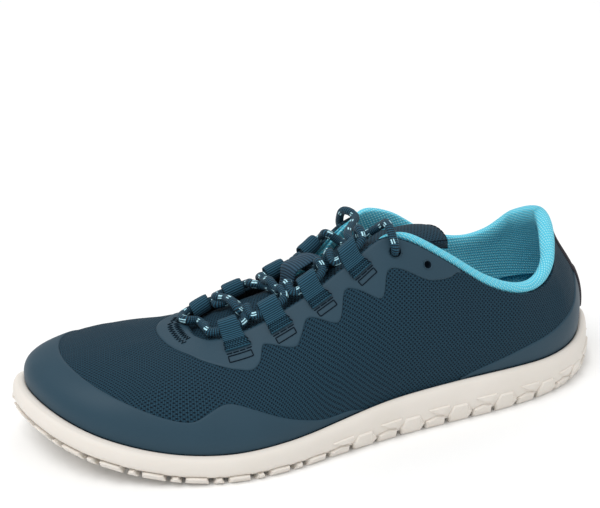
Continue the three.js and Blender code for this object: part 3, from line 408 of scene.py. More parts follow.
PLAN_STEPS = 160
outer_side = [(o * width_at(a), y_at(a)) for a, o, _ in SOLE_PLAN]
inner_side = [(-i * width_at(a), y_at(a)) for a, _, i in SOLE_PLAN]
plan_points = [
    (HEEL_CENTRE * HEEL_WIDTH, y_at(0)),
    *outer_side,
    (TOE_TIP * BALL_WIDTH, y_at(1)),
    *reversed(inner_side),
]
plan = catmull_rom(plan_points, True, PLAN_STEPS)
plan = np.concatenate([plan, plan[:1]])
plan_length = run_lengths(plan)
plan_way = np.roll(plan[:-1], -1, axis=0) - np.roll(plan[:-1], 1, axis=0)
plan_way = np.concatenate([plan_way, plan_way[:1]])
PERIMETER = plan_length[-1]
TOE_LENGTH = plan_length[(len(SOLE_PLAN) + 1) * PLAN_STEPS]


def outline(turn, inset=0.0):
    """Points of the sole's outline, moved inwards, and the directions out of the shoe."""
    t = np.mod(turn, 1.0)
    front = TOE_LENGTH + (t - 0.5) * 2 * (PERIMETER - TOE_LENGTH)
    length = np.where(t < 0.5, t * 2 * TOE_LENGTH, front)
    x = np.interp(length, plan_length, plan[:, 0])
    y = np.interp(length, plan_length, plan[:, 1])
    way_x = np.interp(length, plan_length, plan_way[:, 0])
    way_y = np.interp(length, plan_length, plan_way[:, 1])
    out = unit(vector(-way_y, way_x, 0))
    return vector(x, y, 0) - out * np.asarray(inset)[..., None], out


def underside_at(along):
    toe = np.maximum(0, (along - FLAT_TO) / (1 - FLAT_TO))
    heel = np.maximum(0, (FLAT_FROM - along) / FLAT_FROM)
    return TOE_SPRING * toe**2 + HEEL_SPRING * heel**2


wall_share = around(SIDE_WALL, 1)
rim_share = around(SIDE_WALL, 2)


def rim_thickness(turn):
    return RIM_THICKNESS * rim_share(turn)


def floor_at(point):
    return underside_at(along_at(point[..., 1]))


def rim_at(turn):
    return floor_at(outline(turn)[0]) + RIM_HEIGHT * wall_share(turn)


def skin_inset(turn):
    return rim_thickness(turn) + GAP


# The upper's outer surface

# Turns or levels to each side over which the skin's directions are taken
SKIN_STEP = 0.004
RIB_SAMPLES = 25
TOP_BAND = 0.96

top_line = [around(TOP_LINE, i) for i in range(1, 8)]


def rib(turn):
    across, along, up, rise, lean, over, drop = [curve(turn) for curve in top_line]
    start, out = outline(turn, skin_inset(turn))
    start[..., 2] = rim_at(turn)
    end = vector(across * BALL_WIDTH, y_at(along), up * INSTEP_HEIGHT)
    low = start + out * (lean * INSTEP_HEIGHT)[..., None]
    low[..., 2] += rise * INSTEP_HEIGHT
    reach = over * INSTEP_HEIGHT
    slope = np.radians(drop)
    high = end + out * (reach * np.cos(slope))[..., None]
    high[..., 2] -= reach * np.sin(slope)
    return start, low, high, end


def bare_skin(turn, level):
    turn, level = as_arrays(turn, level)
    start, low, high, end = rib(turn)
    b = level[..., None]
    a = 1 - b
    return a**3 * start + 3 * a**2 * b * low + 3 * a * b**2 * high + b**3 * end


def skin_out(turn, level):
    step = SKIN_STEP
    up = bare_skin(turn, np.minimum(1, level + step)) - bare_skin(turn, np.maximum(0, level - step))
    way = bare_skin(turn + step, level) - bare_skin(turn - step, level)
    return unit(np.cross(up, way))


def relief(point):
    """Height of the soft creases at points of the skin."""
    height = np.zeros(point.shape[:-1])
    for turn_a, level_a, turn_b, level_b, width, depth in CREASES:
        a = bare_skin(turn_a, level_a)
        b = bare_skin(turn_b, level_b)
        way = b - a
        share = np.clip(((point - a) @ way) / (way @ way), 0, 1)
        distance = np.linalg.norm(point - a - share[..., None] * way, axis=-1)
        height += depth * MM * np.exp(-((distance / (width * MM)) ** 2))
    return height


def surface(turn, level, lift=0.0):
    """Points of the creased skin, moved out by a lift."""
    turn, level, lift = as_arrays(turn, level, lift)
    point = bare_skin(turn, level)
    return point + skin_out(turn, level) * (lift + relief(point))[..., None]


def rib_length(turn):
    """Length of a rib from the rim to the top line."""
    levels = np.linspace(0, 1, RIB_SAMPLES)
    turn = np.asarray(turn, float)
    points = bare_skin(turn[..., None], levels)
    return np.linalg.norm(np.diff(points, axis=-2), axis=-1).sum(-1)


def top_rate(turn):
    """Turns for each metre of the top line."""
    step = SKIN_STEP / 2
    return 2 * step / np.linalg.norm(bare_skin(turn + step, 1) - bare_skin(turn - step, 1), axis=-1)


def top_at(turn, up, out):
    """A point past the top line (up above 0) or down the skin from it, so far out."""
    turn, up, out = as_arrays(turn, up, out)
    down = surface(turn, np.clip(1 + up / rib_length(turn), 0, 1), out)
    origin = bare_skin(turn, 1)
    normal = skin_out(turn, 1)
    rise = origin - bare_skin(turn, TOP_BAND)
    rise = unit(rise - (rise * normal).sum(-1, keepdims=True) * normal)
    past = origin + rise * up[..., None] + normal * out[..., None]
    return np.where((up < 0)[..., None], down, past)


def top_way(turn):
    return unit(bare_skin(turn + SKIN_STEP, 1) - bare_skin(turn - SKIN_STEP, 1))


# The CAD frame has its origin under the middle of the shoe's box; this is its shift

insole_turns = np.linspace(0, 1, 721)
insole_rim = outline(insole_turns, skin_inset(insole_turns) + UPPER_WALL + GAP)[0]
insole_low, insole_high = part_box("insole")
SHIFT = np.array(
    [
        (insole_low.x + insole_high.x) / 2 - (insole_rim[:, 0].min() + insole_rim[:, 0].max()) / 2,
        (insole_low.y + insole_high.y) / 2 - (insole_rim[:, 1].min() + insole_rim[:, 1].max()) / 2,
        0,
    ]
)


# Meshes

# Rings of a tube's round end, as shares of its radius past the last point
TUBE_END = np.array([0.95, 0.7, 0.3])
THREAD_SIDES = 6
LACE_SIDES = 16


class Shell:
    """Points and faces of one piece, put together from grids and tubes."""

    def __init__(self):
        self.points, self.faces, self.uvs, self.kinds = [], [], [], []
        self.count = 0

    def add(self, points, faces, uvs, kind=0):
        """faces: rows of point numbers; uvs: for each face corner, in metres."""
        faces = np.asarray(faces, int)
        self.points.append(np.asarray(points, float).reshape(-1, 3))
        self.faces.append(faces + self.count)
        self.uvs.append(np.asarray(uvs, float).reshape(faces.shape[0], faces.shape[1], 2))
        self.kinds.append(np.full(len(faces), kind) if np.isscalar(kind) else np.asarray(kind))
        self.count += len(self.points[-1])

    def grid(self, points, uv, closed_u=False, closed_v=False, kind=0, keep=None):
        """points: rows by columns; uv: the same, with one more row or column where it closes."""
        nu, nv = points.shape[:2]
        i, j = np.meshgrid(
            np.arange(nu if closed_u else nu - 1),
            np.arange(nv if closed_v else nv - 1),
            indexing="ij",
        )
        i, j = i.ravel(), j.ravel()
        if keep is not None:
            wanted = keep[i, j]
            i, j = i[wanted], j[wanted]
        corners = [(i, j), (i + 1, j), (i + 1, j + 1), (i, j + 1)]
        faces = np.stack([(a % nu) * nv + b % nv for a, b in corners], axis=1)
        uvs = np.stack([uv[a, b] for a, b in corners], axis=1)
        kinds = kind if np.isscalar(kind) else np.asarray(kind)[i, j]
        self.add(points, faces, uvs, kinds)

    def join(self, faces, uvs, base):
        """More faces on points that are already here; base is the number of the first of them."""
        self.faces.append(faces + base)
        self.uvs.append(uvs)
        self.kinds.append(np.zeros(len(faces), int))

    def tube(self, path, radius, sides=THREAD_SIDES):
        """A tube with round ends along points. uv: metres along it, share of the way round."""
        first, last = unit(path[0] - path[1]), unit(path[-1] - path[-2])
        head = path[0] + first * radius * TUBE_END[:, None]
        tail = path[-1] + last * radius * TUBE_END[::-1, None]
        caps = radius * np.sqrt(1 - TUBE_END**2)
        radii = np.concatenate([caps, np.full(len(path), radius), caps[::-1]])
        path = np.concatenate([head, path, tail])
        frames = frames_along(path)
        angles = np.linspace(0, 2 * np.pi, sides, endpoint=False)
        ring = frames[0][:, None] * np.cos(angles)[:, None] + frames[1][:, None] * np.sin(angles)[:, None]
        points = path[:, None] + ring * radii[:, None, None]
        uv = plain_uv(run_lengths(path)[:, None], np.linspace(0, 1, sides + 1)[None, :])
        self.grid(points, uv, closed_v=True)
        for row, flip in ((0, -1), (len(path) - 1, 1)):
            base = self.count - (len(path) - row) * sides
            self.join(np.arange(sides)[None, ::flip], np.zeros((1, sides, 2)) + uv[row, 0], base)

    def build(self, name, materials, smooth=True):
        points = np.concatenate(self.points) + SHIFT
        mesh = bpy.data.meshes.new(name)
        faces = [row for block in self.faces for row in block.tolist()]
        mesh.from_pydata(points.tolist(), [], faces)
        layer = mesh.uv_layers.new(name="metres")
        flat = np.concatenate([block.reshape(-1, 2) for block in self.uvs])
        layer.data.foreach_set("uv", flat.astype(np.float32).ravel())
        mesh.polygons.foreach_set("material_index", np.concatenate(self.kinds).astype(np.int32))
        mesh.polygons.foreach_set("use_smooth", np.full(len(mesh.polygons), smooth))
        for material in materials:
            mesh.materials.append(material)
        mesh.validate()
        mesh.update()
        piece = bpy.data.objects.new(name, mesh)
        bpy.context.scene.collection.objects.link(piece)
        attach(piece, "root")
        return piece


def frames_along(path):
    """Two directions across a path at each of its points, without twist."""
    way = unit(np.gradient(path, axis=0))
    side = unit(np.cross(way[0], [0.3, 0.2, 1.0]))
    sides = []
    for w in way:
        side = unit(side - w * (side @ w))
        sides.append(side)
    sides = np.array(sides)
    return sides, np.cross(way, sides)


def plain_uv(u, v):
    return np.stack(np.broadcast_arrays(u, v), axis=-1)


# Materials


def linear(hex_colour):
    parts = [int(hex_colour[i : i + 2], 16) / 255 for i in (1, 3, 5)]
    return tuple(c / 12.92 if c < 0.04045 else ((c + 0.055) / 1.055) ** 2.4 for c in parts)


class Paint:
    """A material whose nodes are written as sums."""

    def __init__(self, name, roughness, **constants):
        self.material = bpy.data.materials.new(name)
        self.material.use_nodes = True
        self.tree = self.material.node_tree
        self.shader = self.tree.nodes["Principled BSDF"]
        self.shader.inputs["Roughness"].default_value = roughness
        for key, value in constants.items():
            socket = key.replace("_", " ").title().replace("Ior", "IOR")
            self.shader.inputs[socket].default_value = value
        self.heights = None

    def put(self, socket, value):
        if isinstance(value, bpy.types.NodeSocket):
            self.tree.links.new(value, socket)
        elif hasattr(value, "__len__") and len(value) == 3 and socket.type == "RGBA":
            socket.default_value = (*value, 1)
        else:
            socket.default_value = value

    def node(self, kind, inputs=(), **settings):
        node = self.tree.nodes.new(kind)
        for key, value in settings.items():
            setattr(node, key, value)
        for key, value in dict(inputs).items():
            self.put(node.inputs[key], value)
        return node

    def sum(self, operation, a, b=0.0, c=0.0):
        return self.node("ShaderNodeMath", {0: a, 1: b, 2: c}, operation=operation).outputs[0]

    def between(self, low, high, value):
        node = self.node("ShaderNodeMapRange", {0: value, 1: low, 2: high}, interpolation_type="SMOOTHSTEP")
        return node.outputs[0]

    def mix(self, share, a, b):
        node = self.node("ShaderNodeMix", {0: share, 6: a, 7: b}, data_type="RGBA")
        return node.outputs[2]

    def metres(self):
        uv = self.node("ShaderNodeUVMap", uv_map="metres").outputs[0]
        parts = self.node("ShaderNodeSeparateXYZ", {0: uv})
        return parts.outputs[0], parts.outputs[1]

    def noise(self, size, detail=2.0):
        where = self.node("ShaderNodeTexCoord").outputs["Object"]
        inputs = {"Vector": where, "Scale": 1 / size, "Detail": detail}
        return self.node("ShaderNodeTexNoise", inputs).outputs[0]

    def wave(self, value, pitch):
        """0 to 1 and back once for each pitch."""
        angle = self.sum("MULTIPLY", value, 2 * math.pi / pitch)
        return self.sum("MULTIPLY_ADD", self.sum("SINE", angle), 0.5, 0.5)

    def turned(self, degrees):
        u, v = self.metres()
        c, s = math.cos(math.radians(degrees)), math.sin(math.radians(degrees))
        first = self.sum("MULTIPLY_ADD", v, s, self.sum("MULTIPLY", u, c))
        second = self.sum("MULTIPLY_ADD", v, c, self.sum("MULTIPLY", u, -s))
        return first, second

    def woven(self, degrees, pitch):
        """Dots of a weave whose threads lie at an angle."""
        a, b = self.turned(degrees)
        return self.sum("MULTIPLY", self.wave(a, pitch), self.wave(b, pitch))

    def colour(self, value):
        self.put(self.shader.inputs["Base Color"], value)

    def rough(self, value):
        self.put(self.shader.inputs["Roughness"], value)

    def bump(self, height, distance, strength):
        inputs = {"Height": height, "Distance": distance, "Strength": strength}
        node = self.node("ShaderNodeBump", inputs)
        if self.heights is not None:
            self.tree.links.new(self.heights, node.inputs["Normal"])
        self.heights = node.outputs[0]
        self.tree.links.new(self.heights, self.shader.inputs["Normal"])


WEAVE_PITCH = 1.38 * MM
WEAVE_ANGLE = 38
FINE_ANGLE = WEAVE_ANGLE + 45
CORD_PITCH = 0.95 * MM
LACE_STRANDS = 14
FLECK_PITCH = 8.4 * MM
FLECK_TWIST = 26 * MM


def mesh_material():
    """Fine navy mesh: diagonal rows of small dots between raised threads."""
    paint = Paint("navy_mesh", 0.72, specular_ior_level=0.10, sheen_weight=0.04, sheen_roughness=0.4)
    dots = paint.woven(WEAVE_ANGLE, WEAVE_PITCH)
    fine = paint.woven(FINE_ANGLE, WEAVE_PITCH / 2)
    hole = paint.between(0.22, 0.62, dots)
    patches = paint.noise(30 * MM, 2.0)
    base = paint.mix(patches, linear("#162d3c"), linear("#193241"))
    light = paint.mix(fine, base, linear("#2e5060"))
    paint.colour(paint.mix(hole, light, linear("#081620")))
    paint.bump(dots, -0.2 * MM, 0.9)
    paint.bump(fine, 0.05 * MM, 0.6)
    paint.bump(paint.noise(9 * MM), 0.25 * MM, 0.5)
    return paint.material


def film_material():
    """Matt film melted on to the mesh, which shows through it faintly."""
    paint = Paint("matt_film", 0.5, specular_ior_level=0.22)
    grain = paint.noise(0.5 * MM, 3.0)
    clouds = paint.noise(22 * MM, 2.0)
    paint.colour(paint.mix(clouds, linear("#27404e"), linear("#2b4554")))
    paint.rough(paint.sum("MULTIPLY_ADD", grain, 0.16, 0.44))
    paint.bump(paint.woven(WEAVE_ANGLE, WEAVE_PITCH), -0.035 * MM, 0.5)
    paint.bump(grain, 0.03 * MM, 0.7)
    paint.bump(paint.noise(6 * MM), 0.12 * MM, 0.5)
    return paint.material


def knit_material(name, light, dark, pitch):
    """Rib knit: rows of small stitches."""
    paint = Paint(name, 0.85, specular_ior_level=0.10, sheen_weight=0.06, sheen_roughness=0.5)
    u, v = paint.metres()
    rows = paint.wave(v, pitch)
    slant = paint.sum("MULTIPLY_ADD", v, 0.5, u)
    stitch = paint.sum("MULTIPLY", rows, paint.wave(slant, pitch))
    shade = paint.between(0.05, 0.6, stitch)
    patches = paint.noise(12 * MM)
    base = paint.mix(patches, light, tuple(0.88 * c for c in light))
    paint.colour(paint.mix(shade, dark, base))
    paint.bump(stitch, 0.3 * MM, 0.9)
    paint.bump(paint.noise(7 * MM), 0.3 * MM, 0.4)
    return paint.material


def rubber_material():
    """Off-white foamed rubber, matt, with a faint moulded grain."""
    paint = Paint("white_rubber", 0.55, specular_ior_level=0.25, subsurface_weight=0.08)
    paint.shader.inputs["Subsurface Radius"].default_value = (2 * MM, 1.5 * MM, 1.2 * MM)
    grain = paint.noise(0.7 * MM, 3.0)
    clouds = paint.noise(25 * MM)
    paint.colour(paint.mix(clouds, linear("#e6e0d9"), linear("#ded8cf")))
    paint.rough(paint.sum("MULTIPLY_ADD", grain, 0.14, 0.48))
    paint.bump(grain, 0.04 * MM, 0.6)
    paint.bump(paint.noise(5 * MM), 0.12 * MM, 0.4)
    return paint.material


def webbing_material(name, light, dark, pitch=CORD_PITCH):
    """Ribbed webbing: fine cords across the strip, u along it."""
    paint = Paint(name, 0.75, specular_ior_level=0.15, sheen_weight=0.06, sheen_roughness=0.4)
    u, v = paint.metres()
    ribs = paint.wave(u, pitch)
    threads = paint.wave(v, 0.55 * MM)
    both = paint.sum("MULTIPLY", ribs, paint.sum("MULTIPLY_ADD", threads, 0.3, 0.7))
    paint.colour(paint.mix(both, dark, light))
    paint.bump(both, 0.28 * MM, 1.0)
    paint.bump(paint.noise(1.5 * MM), 0.06 * MM, 0.5)
    return paint.material


def lace_material():
    """Round braid of dark cord with pairs of pale flecks. u runs along it, v once round it."""
    paint = Paint("braided_lace", 0.6, specular_ior_level=0.2, sheen_weight=0.05, sheen_roughness=0.4)
    u, v = paint.metres()
    ribs = paint.wave(paint.sum("MULTIPLY_ADD", v, 2 * CORD_PITCH, u), CORD_PITCH)
    strands = paint.wave(v, 1 / LACE_STRANDS)
    braid = paint.sum("MULTIPLY", ribs, paint.sum("MULTIPLY_ADD", strands, 0.45, 0.55))
    base = paint.mix(paint.between(0.1, 0.9, braid), linear("#0b1f2b"), linear("#28586f"))
    along = paint.sum("FRACT", paint.sum("DIVIDE", u, FLECK_PITCH))
    twist = paint.sum("MULTIPLY", u, 1 / FLECK_TWIST)
    place = paint.sum("FRACT", paint.sum("MULTIPLY_ADD", v, 3.0, twist))
    pair = paint.sum("LESS_THAN", paint.sum("PINGPONG", paint.sum("SUBTRACT", place, 0.2), 0.16), 0.09)
    short = paint.sum("LESS_THAN", along, 0.24)
    fleck = paint.sum("MULTIPLY", pair, short)
    fleck = paint.sum("MULTIPLY", fleck, paint.sum("LESS_THAN", place, 0.55))
    paint.colour(paint.mix(fleck, base, linear("#b8e8f5")))
    paint.bump(braid, 0.2 * MM, 1.0)
    return paint.material


def thread_material(name, colour):
    paint = Paint(name, 0.8, specular_ior_level=0.1)
    u, v = paint.metres()
    twist = paint.wave(paint.sum("MULTIPLY_ADD", v, 0.7 * MM, u), 0.7 * MM)
    paint.colour(paint.mix(twist, tuple(0.6 * c for c in colour), colour))
    paint.bump(twist, 0.05 * MM, 0.8)
    return paint.material


NAVY_MESH = mesh_material()
MATT_FILM = film_material()
WHITE_RUBBER = rubber_material()
BLUE_KNIT = knit_material("blue_knit", linear("#a2ebf8"), linear("#55c2dd"), 1.5 * MM)
DARK_KNIT = knit_material("dark_lining", linear("#12252f"), linear("#08131a"), 1.2 * MM)
INSOLE_CLOTH = knit_material("insole_cloth", linear("#2f88a5"), linear("#185a73"), 1.1 * MM)
TEAL_WEBBING = webbing_material("teal_webbing", linear("#33637a"), linear("#0e2633"))
KEEPER_WEBBING = webbing_material("keeper_webbing", linear("#35566c"), linear("#152a38"), 1.3 * MM)
HEEL_TAPE = webbing_material("heel_tape", linear("#4a464c"), linear("#1e1c22"), 1.1 * MM)
TONGUE_BINDING_CLOTH = webbing_material("tongue_binding", linear("#22404f"), linear("#0a1a24"), 0.8 * MM)
BRAIDED_LACE = lace_material()
DARK_THREAD = thread_material("dark_thread", linear("#0c1c28"))


# Where the weave lies: the upper peeled flat round its throat, and rolled out along the heel

PEEL_TURN = 0.22
PEEL_FROM = PEEL_TURN - 0.06
PEEL_TO = PEEL_TURN + 0.11
WEAVE_SAMPLES = 33


def weave_uv(turn, level):
    turn, level = as_arrays(turn, level)
    levels = np.linspace(0, 1, WEAVE_SAMPLES)
    ribs = bare_skin(turn[:, :1], levels[None, :])
    lengths = np.linalg.norm(np.diff(ribs, axis=1), axis=2)
    down = np.cumsum(lengths[:, ::-1], axis=1)[:, ::-1]
    down = np.concatenate([down, np.zeros((len(turn), 1))], axis=1)
    drop = np.stack([np.interp(level[i], levels, down[i]) for i in range(len(turn))])
    top = bare_skin(turn, 1.0)
    peeled = top[..., :2] + outline(turn)[1][..., :2] * drop[..., None]
    outer = turn <= 0.5
    hinge = np.where(outer, PEEL_TURN, 1 - PEEL_TURN)
    corner = bare_skin(hinge, 1.0)
    sign = np.where(outer, 1, -1)
    climb = down[:, :1] - drop
    below = rib_length(hinge[:, :1]) - climb
    behind = sign * (hinge - turn) * PERIMETER
    rolled = np.stack([corner[..., 0] + sign * below, corner[..., 1] + behind], axis=-1)
    side = np.minimum(turn, 1 - turn)
    share = smoothstep(PEEL_FROM, PEEL_TO, side)[..., None]
    return rolled * (1 - share) + peeled * share


def mirrored(turn):
    turn = np.mod(turn, 1.0)
    return np.minimum(turn, 1 - turn)


# Upper

UPPER_STEPS = 560
UPPER_ROWS = 96
# The upper's inside has one row for so many of its outside
UPPER_SKIP = 4
# The rounded top edge: shares of the wall, and how far it stands up
EDGE_SHARES = (0.15, 0.85)
EDGE_RISE = 0.35 * MM
# How far from its middle along its axis a hole still cuts, and how near its edge points are drawn on to it
HOLE_DEPTH = 6 * MM
HOLE_SNAP = 0.75 * MM


def near_hole(points):
    """Which points lie in a hole, and all points, those at a hole moved on to its edge."""
    inside = np.zeros(points.shape[:2], bool)
    moved = points.copy()
    for turn, level, diameter in HOLES:
        for side in (turn, 1 - turn):
            centre = surface(side, level)
            axis = skin_out(side, np.asarray(level))
            away = points - centre
            depth = away @ axis
            flat = away - depth[..., None] * axis
            distance = np.linalg.norm(flat, axis=-1)
            near = np.abs(depth) < HOLE_DEPTH
            close = near & (distance < diameter / 2 + HOLE_SNAP)
            edge = centre + depth[..., None] * axis + unit(flat) * diameter / 2
            moved = np.where(close[..., None], edge, moved)
            inside |= near & (distance < diameter / 2)
    return inside, moved


def with_holes(shell, points, uv, **settings):
    """A grid with the holes cut out of it."""
    inside, moved = near_hole(points)
    closed = settings.get("closed_u", False)
    wide = np.concatenate([inside, inside[:1]]) if closed else inside
    cut = wide[:-1, :-1] | wide[1:, :-1] | wide[:-1, 1:] | wide[1:, 1:]
    keep = np.ones((points.shape[0], points.shape[1]), bool)
    keep[: cut.shape[0], : cut.shape[1]] = ~cut
    shell.grid(moved, uv, keep=keep, **settings)


def make_upper():
    turns = np.linspace(0, 1, UPPER_STEPS + 1)[:, None]
    levels = np.linspace(0, 1, UPPER_ROWS + 1)[None, :]
    outside = surface(turns, levels)
    inside = surface(turns, levels[:, ::-UPPER_SKIP], -UPPER_WALL)
    hem_out, _ = outline(turns[:, 0], skin_inset(turns[:, 0]))
    hem_in, _ = outline(turns[:, 0], skin_inset(turns[:, 0]) + UPPER_WALL)
    for hem in (hem_out, hem_in):
        hem[:, 2] = floor_at(hem) + BED_HEIGHT + GAP
    rise = np.array([0, 0, EDGE_RISE])
    edge = [surface(turns, np.ones((1, 1)), -UPPER_WALL * share) + rise for share in EDGE_SHARES]
    points = np.concatenate([hem_out[:, None], outside, *edge, inside, hem_in[:, None]], axis=1)[:-1]
    weave_out = weave_uv(turns, levels)
    top = weave_out[:, -1:]
    lower = weave_out[:, :1]
    weave_in = weave_out[:, ::-UPPER_SKIP]
    uv = np.concatenate([lower, weave_out, top, top, weave_in, weave_in[:, -1:]], axis=1)
    uv = np.concatenate([uv, uv[:, :1]], axis=1)
    kinds = np.zeros(points.shape[:2], int)
    kinds[:, UPPER_ROWS + 3 :] = np.where(mirrored(turns[:-1]) < LINING_END, 1, 2)
    shell = Shell()
    with_holes(shell, points, uv, closed_u=True, closed_v=True, kind=kinds)
    upper = shell.build("knit_upper", [NAVY_MESH, BLUE_KNIT, DARK_KNIT])
    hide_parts("upper")


# Films


# A film's underside lies this far in the mesh; its edges are bevelled so wide, and end so thin
FILM_UNDER = -0.12 * MM
FILM_BEVEL = 0.7 * MM
FILM_LIP = 0.02 * MM
FILM_SHOULDER = 0.68
FILM_HIGH = 0.995
FILM_LOW = 0.004


def film_grid(turns, low, high, rows):
    """Points and uv of a thin slab on the skin between two levels, with soft edges."""
    spread = np.concatenate([[0, 0.35, 1], np.linspace(1, rows, rows)[1:], [rows + 0.65, rows + 1]])
    length = rib_length(turns)
    step = FILM_BEVEL / length
    inner_low, inner_high = low + step, high - step
    share = np.clip((spread - 1) / (rows - 1), 0, 1)
    levels = inner_low[:, None] + (inner_high - inner_low)[:, None] * share[None, :]
    levels[:, 0], levels[:, 1] = low, low + 0.3 * step
    levels[:, -1], levels[:, -2] = high, high - 0.3 * step
    lift = np.full(levels.shape, FILM_THICKNESS)
    lift[:, 0] = lift[:, -1] = FILM_LIP
    lift[:, 1] = lift[:, -2] = FILM_SHOULDER * FILM_THICKNESS
    top = surface(turns[:, None], levels, lift)
    back = surface(turns[:, None], levels[:, ::-3], FILM_UNDER)
    points = np.concatenate([top, back], axis=1)
    uv = weave_uv(turns[:, None], levels)
    uv = np.concatenate([uv, uv[:, ::-3], uv[:, :1]], axis=1)
    return points, uv


def end_caps(shell, points, uv):
    """Closes the two ends of a strip whose sections are loops."""
    count = points.shape[1]
    for row, flip in ((0, 1), (points.shape[0] - 1, -1)):
        face = np.arange(count)[None, ::flip]
        corners = uv[row, :count][None, ::flip]
        shell.add(points[row], face, corners)


def make_film(name, node, turns, low, high, rows, holes=False):
    points, uv = film_grid(turns, low, high, rows)
    shell = Shell()
    if holes:
        with_holes(shell, points, uv, closed_v=True)
    else:
        shell.grid(points, uv, closed_v=True)
    end_caps(shell, points, uv)
    film = shell.build(name, [MATT_FILM])
    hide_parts(node)


def make_films():
    edge = through(EYESTAY_EDGE, 1)
    turns = np.linspace(EYESTAY_EDGE[0][0], 1 - EYESTAY_EDGE[0][0], 620)
    high = np.full(len(turns), FILM_HIGH)
    make_film("eyestay_film", "eyestay", turns, edge(mirrored(turns)), high, 22, holes=True)
    edge = through(TOE_GUARD_EDGE, 1)
    turns = np.linspace(TOE_GUARD_EDGE[0][0], 1 - TOE_GUARD_EDGE[0][0], 420)
    low = np.full(len(turns), FILM_LOW)
    make_film("toe_film", "toe_guard", turns, low, edge(mirrored(turns)), 26)
    edge = through(COUNTER_EDGE, 1)
    end = COUNTER_EDGE[-1][0]
    turns = np.linspace(-end, end, 260)
    low = np.full(len(turns), FILM_LOW)
    make_film("heel_film", "heel_counter", turns, low, edge(np.abs(turns)), 22)


TAPE_COLUMNS = 18
TAPE_ROWS = 90
TAPE_LOW = 0.05
TAPE_HIGH = 0.975


def make_heel_tape():
    half = TAPE_WIDTH / 2 / PERIMETER
    turns = np.linspace(-half, half, TAPE_COLUMNS)
    levels = np.linspace(TAPE_LOW, TAPE_HIGH, TAPE_ROWS)
    over = FILM_THICKNESS * smoothstep(COUNTER_EDGE[0][1] + 0.04, COUNTER_EDGE[0][1], levels)
    bulge = 1 - np.abs(np.linspace(-1, 1, TAPE_COLUMNS)) ** 8
    lift = over[None, :] + TAPE_THICKNESS * (0.25 + 0.75 * bulge[:, None])
    top = surface(turns[:, None], levels[None, :], lift)
    back = surface(turns[::-1, None], levels[None, :], over[None, :] - 0.1 * MM)
    points = np.concatenate([top, back], axis=0)
    run = np.linspace(0, 1, TAPE_ROWS) * rib_length(np.array(0.0))
    width = np.linspace(0, TAPE_WIDTH, TAPE_COLUMNS)
    width = np.concatenate([width, width[::-1], [0]])
    uv = plain_uv(run[None, :], width[:, None])
    shell = Shell()
    shell.grid(points, uv, closed_u=True)
    end_caps(shell, points.swapaxes(0, 1), uv.swapaxes(0, 1))
    tape = shell.build("ribbed_heel_tape", [HEEL_TAPE])
    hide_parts("heel_tape")


# Collar lining

LINING_STEPS = 420
# Columns of the lining between which the roll runs softly into the wall below it
LINING_SOFT_FROM = 16
LINING_SOFT_TO = 42
LINING_SOFT_PASSES = 40
LINING_ROWS_DOWN = 34
LINING_TOP = 0.97
# The roll's section: from the foot's side over the top to the skin, in degrees from outwards
ROLL_SWEEP = (215, -78)
ROLL_STEPS = 26


def make_lining():
    turns = np.linspace(-LINING_END, LINING_END, LINING_STEPS)
    side = np.abs(turns)
    roll, up, inward, foot = [through(LINING_ROWS, i)(side) for i in range(1, 5)]
    full = HEEL_ROLL_RADIUS + (ROLL_RADIUS - HEEL_ROLL_RADIUS) * smoothstep(0.03, 0.11, side)
    radius = full * roll
    depth = UPPER_WALL + GAP
    rows = np.linspace(0, 1, LINING_ROWS_DOWN)
    levels = foot[:, None] + (LINING_TOP - foot)[:, None] * rows[None, :]
    wall = surface(turns[:, None], levels, -depth - LINING_THICKNESS)
    angles = np.radians(np.linspace(*ROLL_SWEEP, ROLL_STEPS))
    centre_up = (radius * up)[:, None]
    centre_out = -(UPPER_WALL * inward)[:, None]
    ring = top_at(
        turns[:, None],
        centre_up + radius[:, None] * np.sin(angles),
        centre_out + radius[:, None] * np.cos(angles),
    )
    corner = top_at(turns[:, None], np.minimum(GAP, radius * up - radius - GAP)[:, None], -depth)
    back = surface(turns[:, None], levels[:, ::-6], -depth)
    points = np.concatenate([wall, ring, corner, back], axis=1)
    soften(points[:, LINING_SOFT_FROM - 1 : LINING_SOFT_TO + 1], LINING_SOFT_PASSES, axis=1)
    along = turns[:, None] * PERIMETER
    steps = np.linalg.norm(np.diff(points, axis=1), axis=2)
    run = np.concatenate([np.zeros((len(turns), 1)), np.cumsum(steps, axis=1)], axis=1)
    start = (foot * rib_length(turns))[:, None]
    uv = plain_uv(along, run + start)
    uv = np.concatenate([uv, uv[:, :1]], axis=1)
    shell = Shell()
    shell.grid(points, uv, closed_v=True)
    end_caps(shell, points, uv)
    lining = shell.build("collar_padding", [BLUE_KNIT])
    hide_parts("collar_lining")


# Sole

LUG_RELIEF = 1.15 * MM
LUG_CHAMFER = 0.75 * MM
# How deep a lug's root goes into the sole's body
LUG_ROOT = 1.6 * MM
EDGE_LUG_REACH = 12 * MM
MOTIF_LENGTH = 25 * MM
FOREFOOT_LUG_LENGTH = 18 * MM
TREAD_ROW = 29 * MM
TREAD_RADIUS = 12 * MM
TREAD_MARGIN = 19 * MM
MOTIF_OUTER_END = 0.27
MOTIF_INNER_END = 0.83
SIDE_LUGS = [
    [(0.04, 0), (0.44, 0), (0.50, 0.26), (0.40, 0.48), (0.12, 0.48), (0.01, 0.22)],
    [(0.54, 0), (0.95, 0), (0.96, 0.24), (0.76, 0.32), (0.58, 0.26)],
    [(0.49, 0.54), (0.62, 0.36), (0.78, 0.40), (0.94, 0.54)],
]
FOREFOOT_LUGS = [
    [(0.04, 0), (0.60, 0), (0.57, 0.25), (0.44, 0.29), (0.10, 0.27)],
    [(0.67, 0), (0.95, 0), (0.88, 0.22), (0.76, 0.25)],
]
SOLE_STEPS = 480


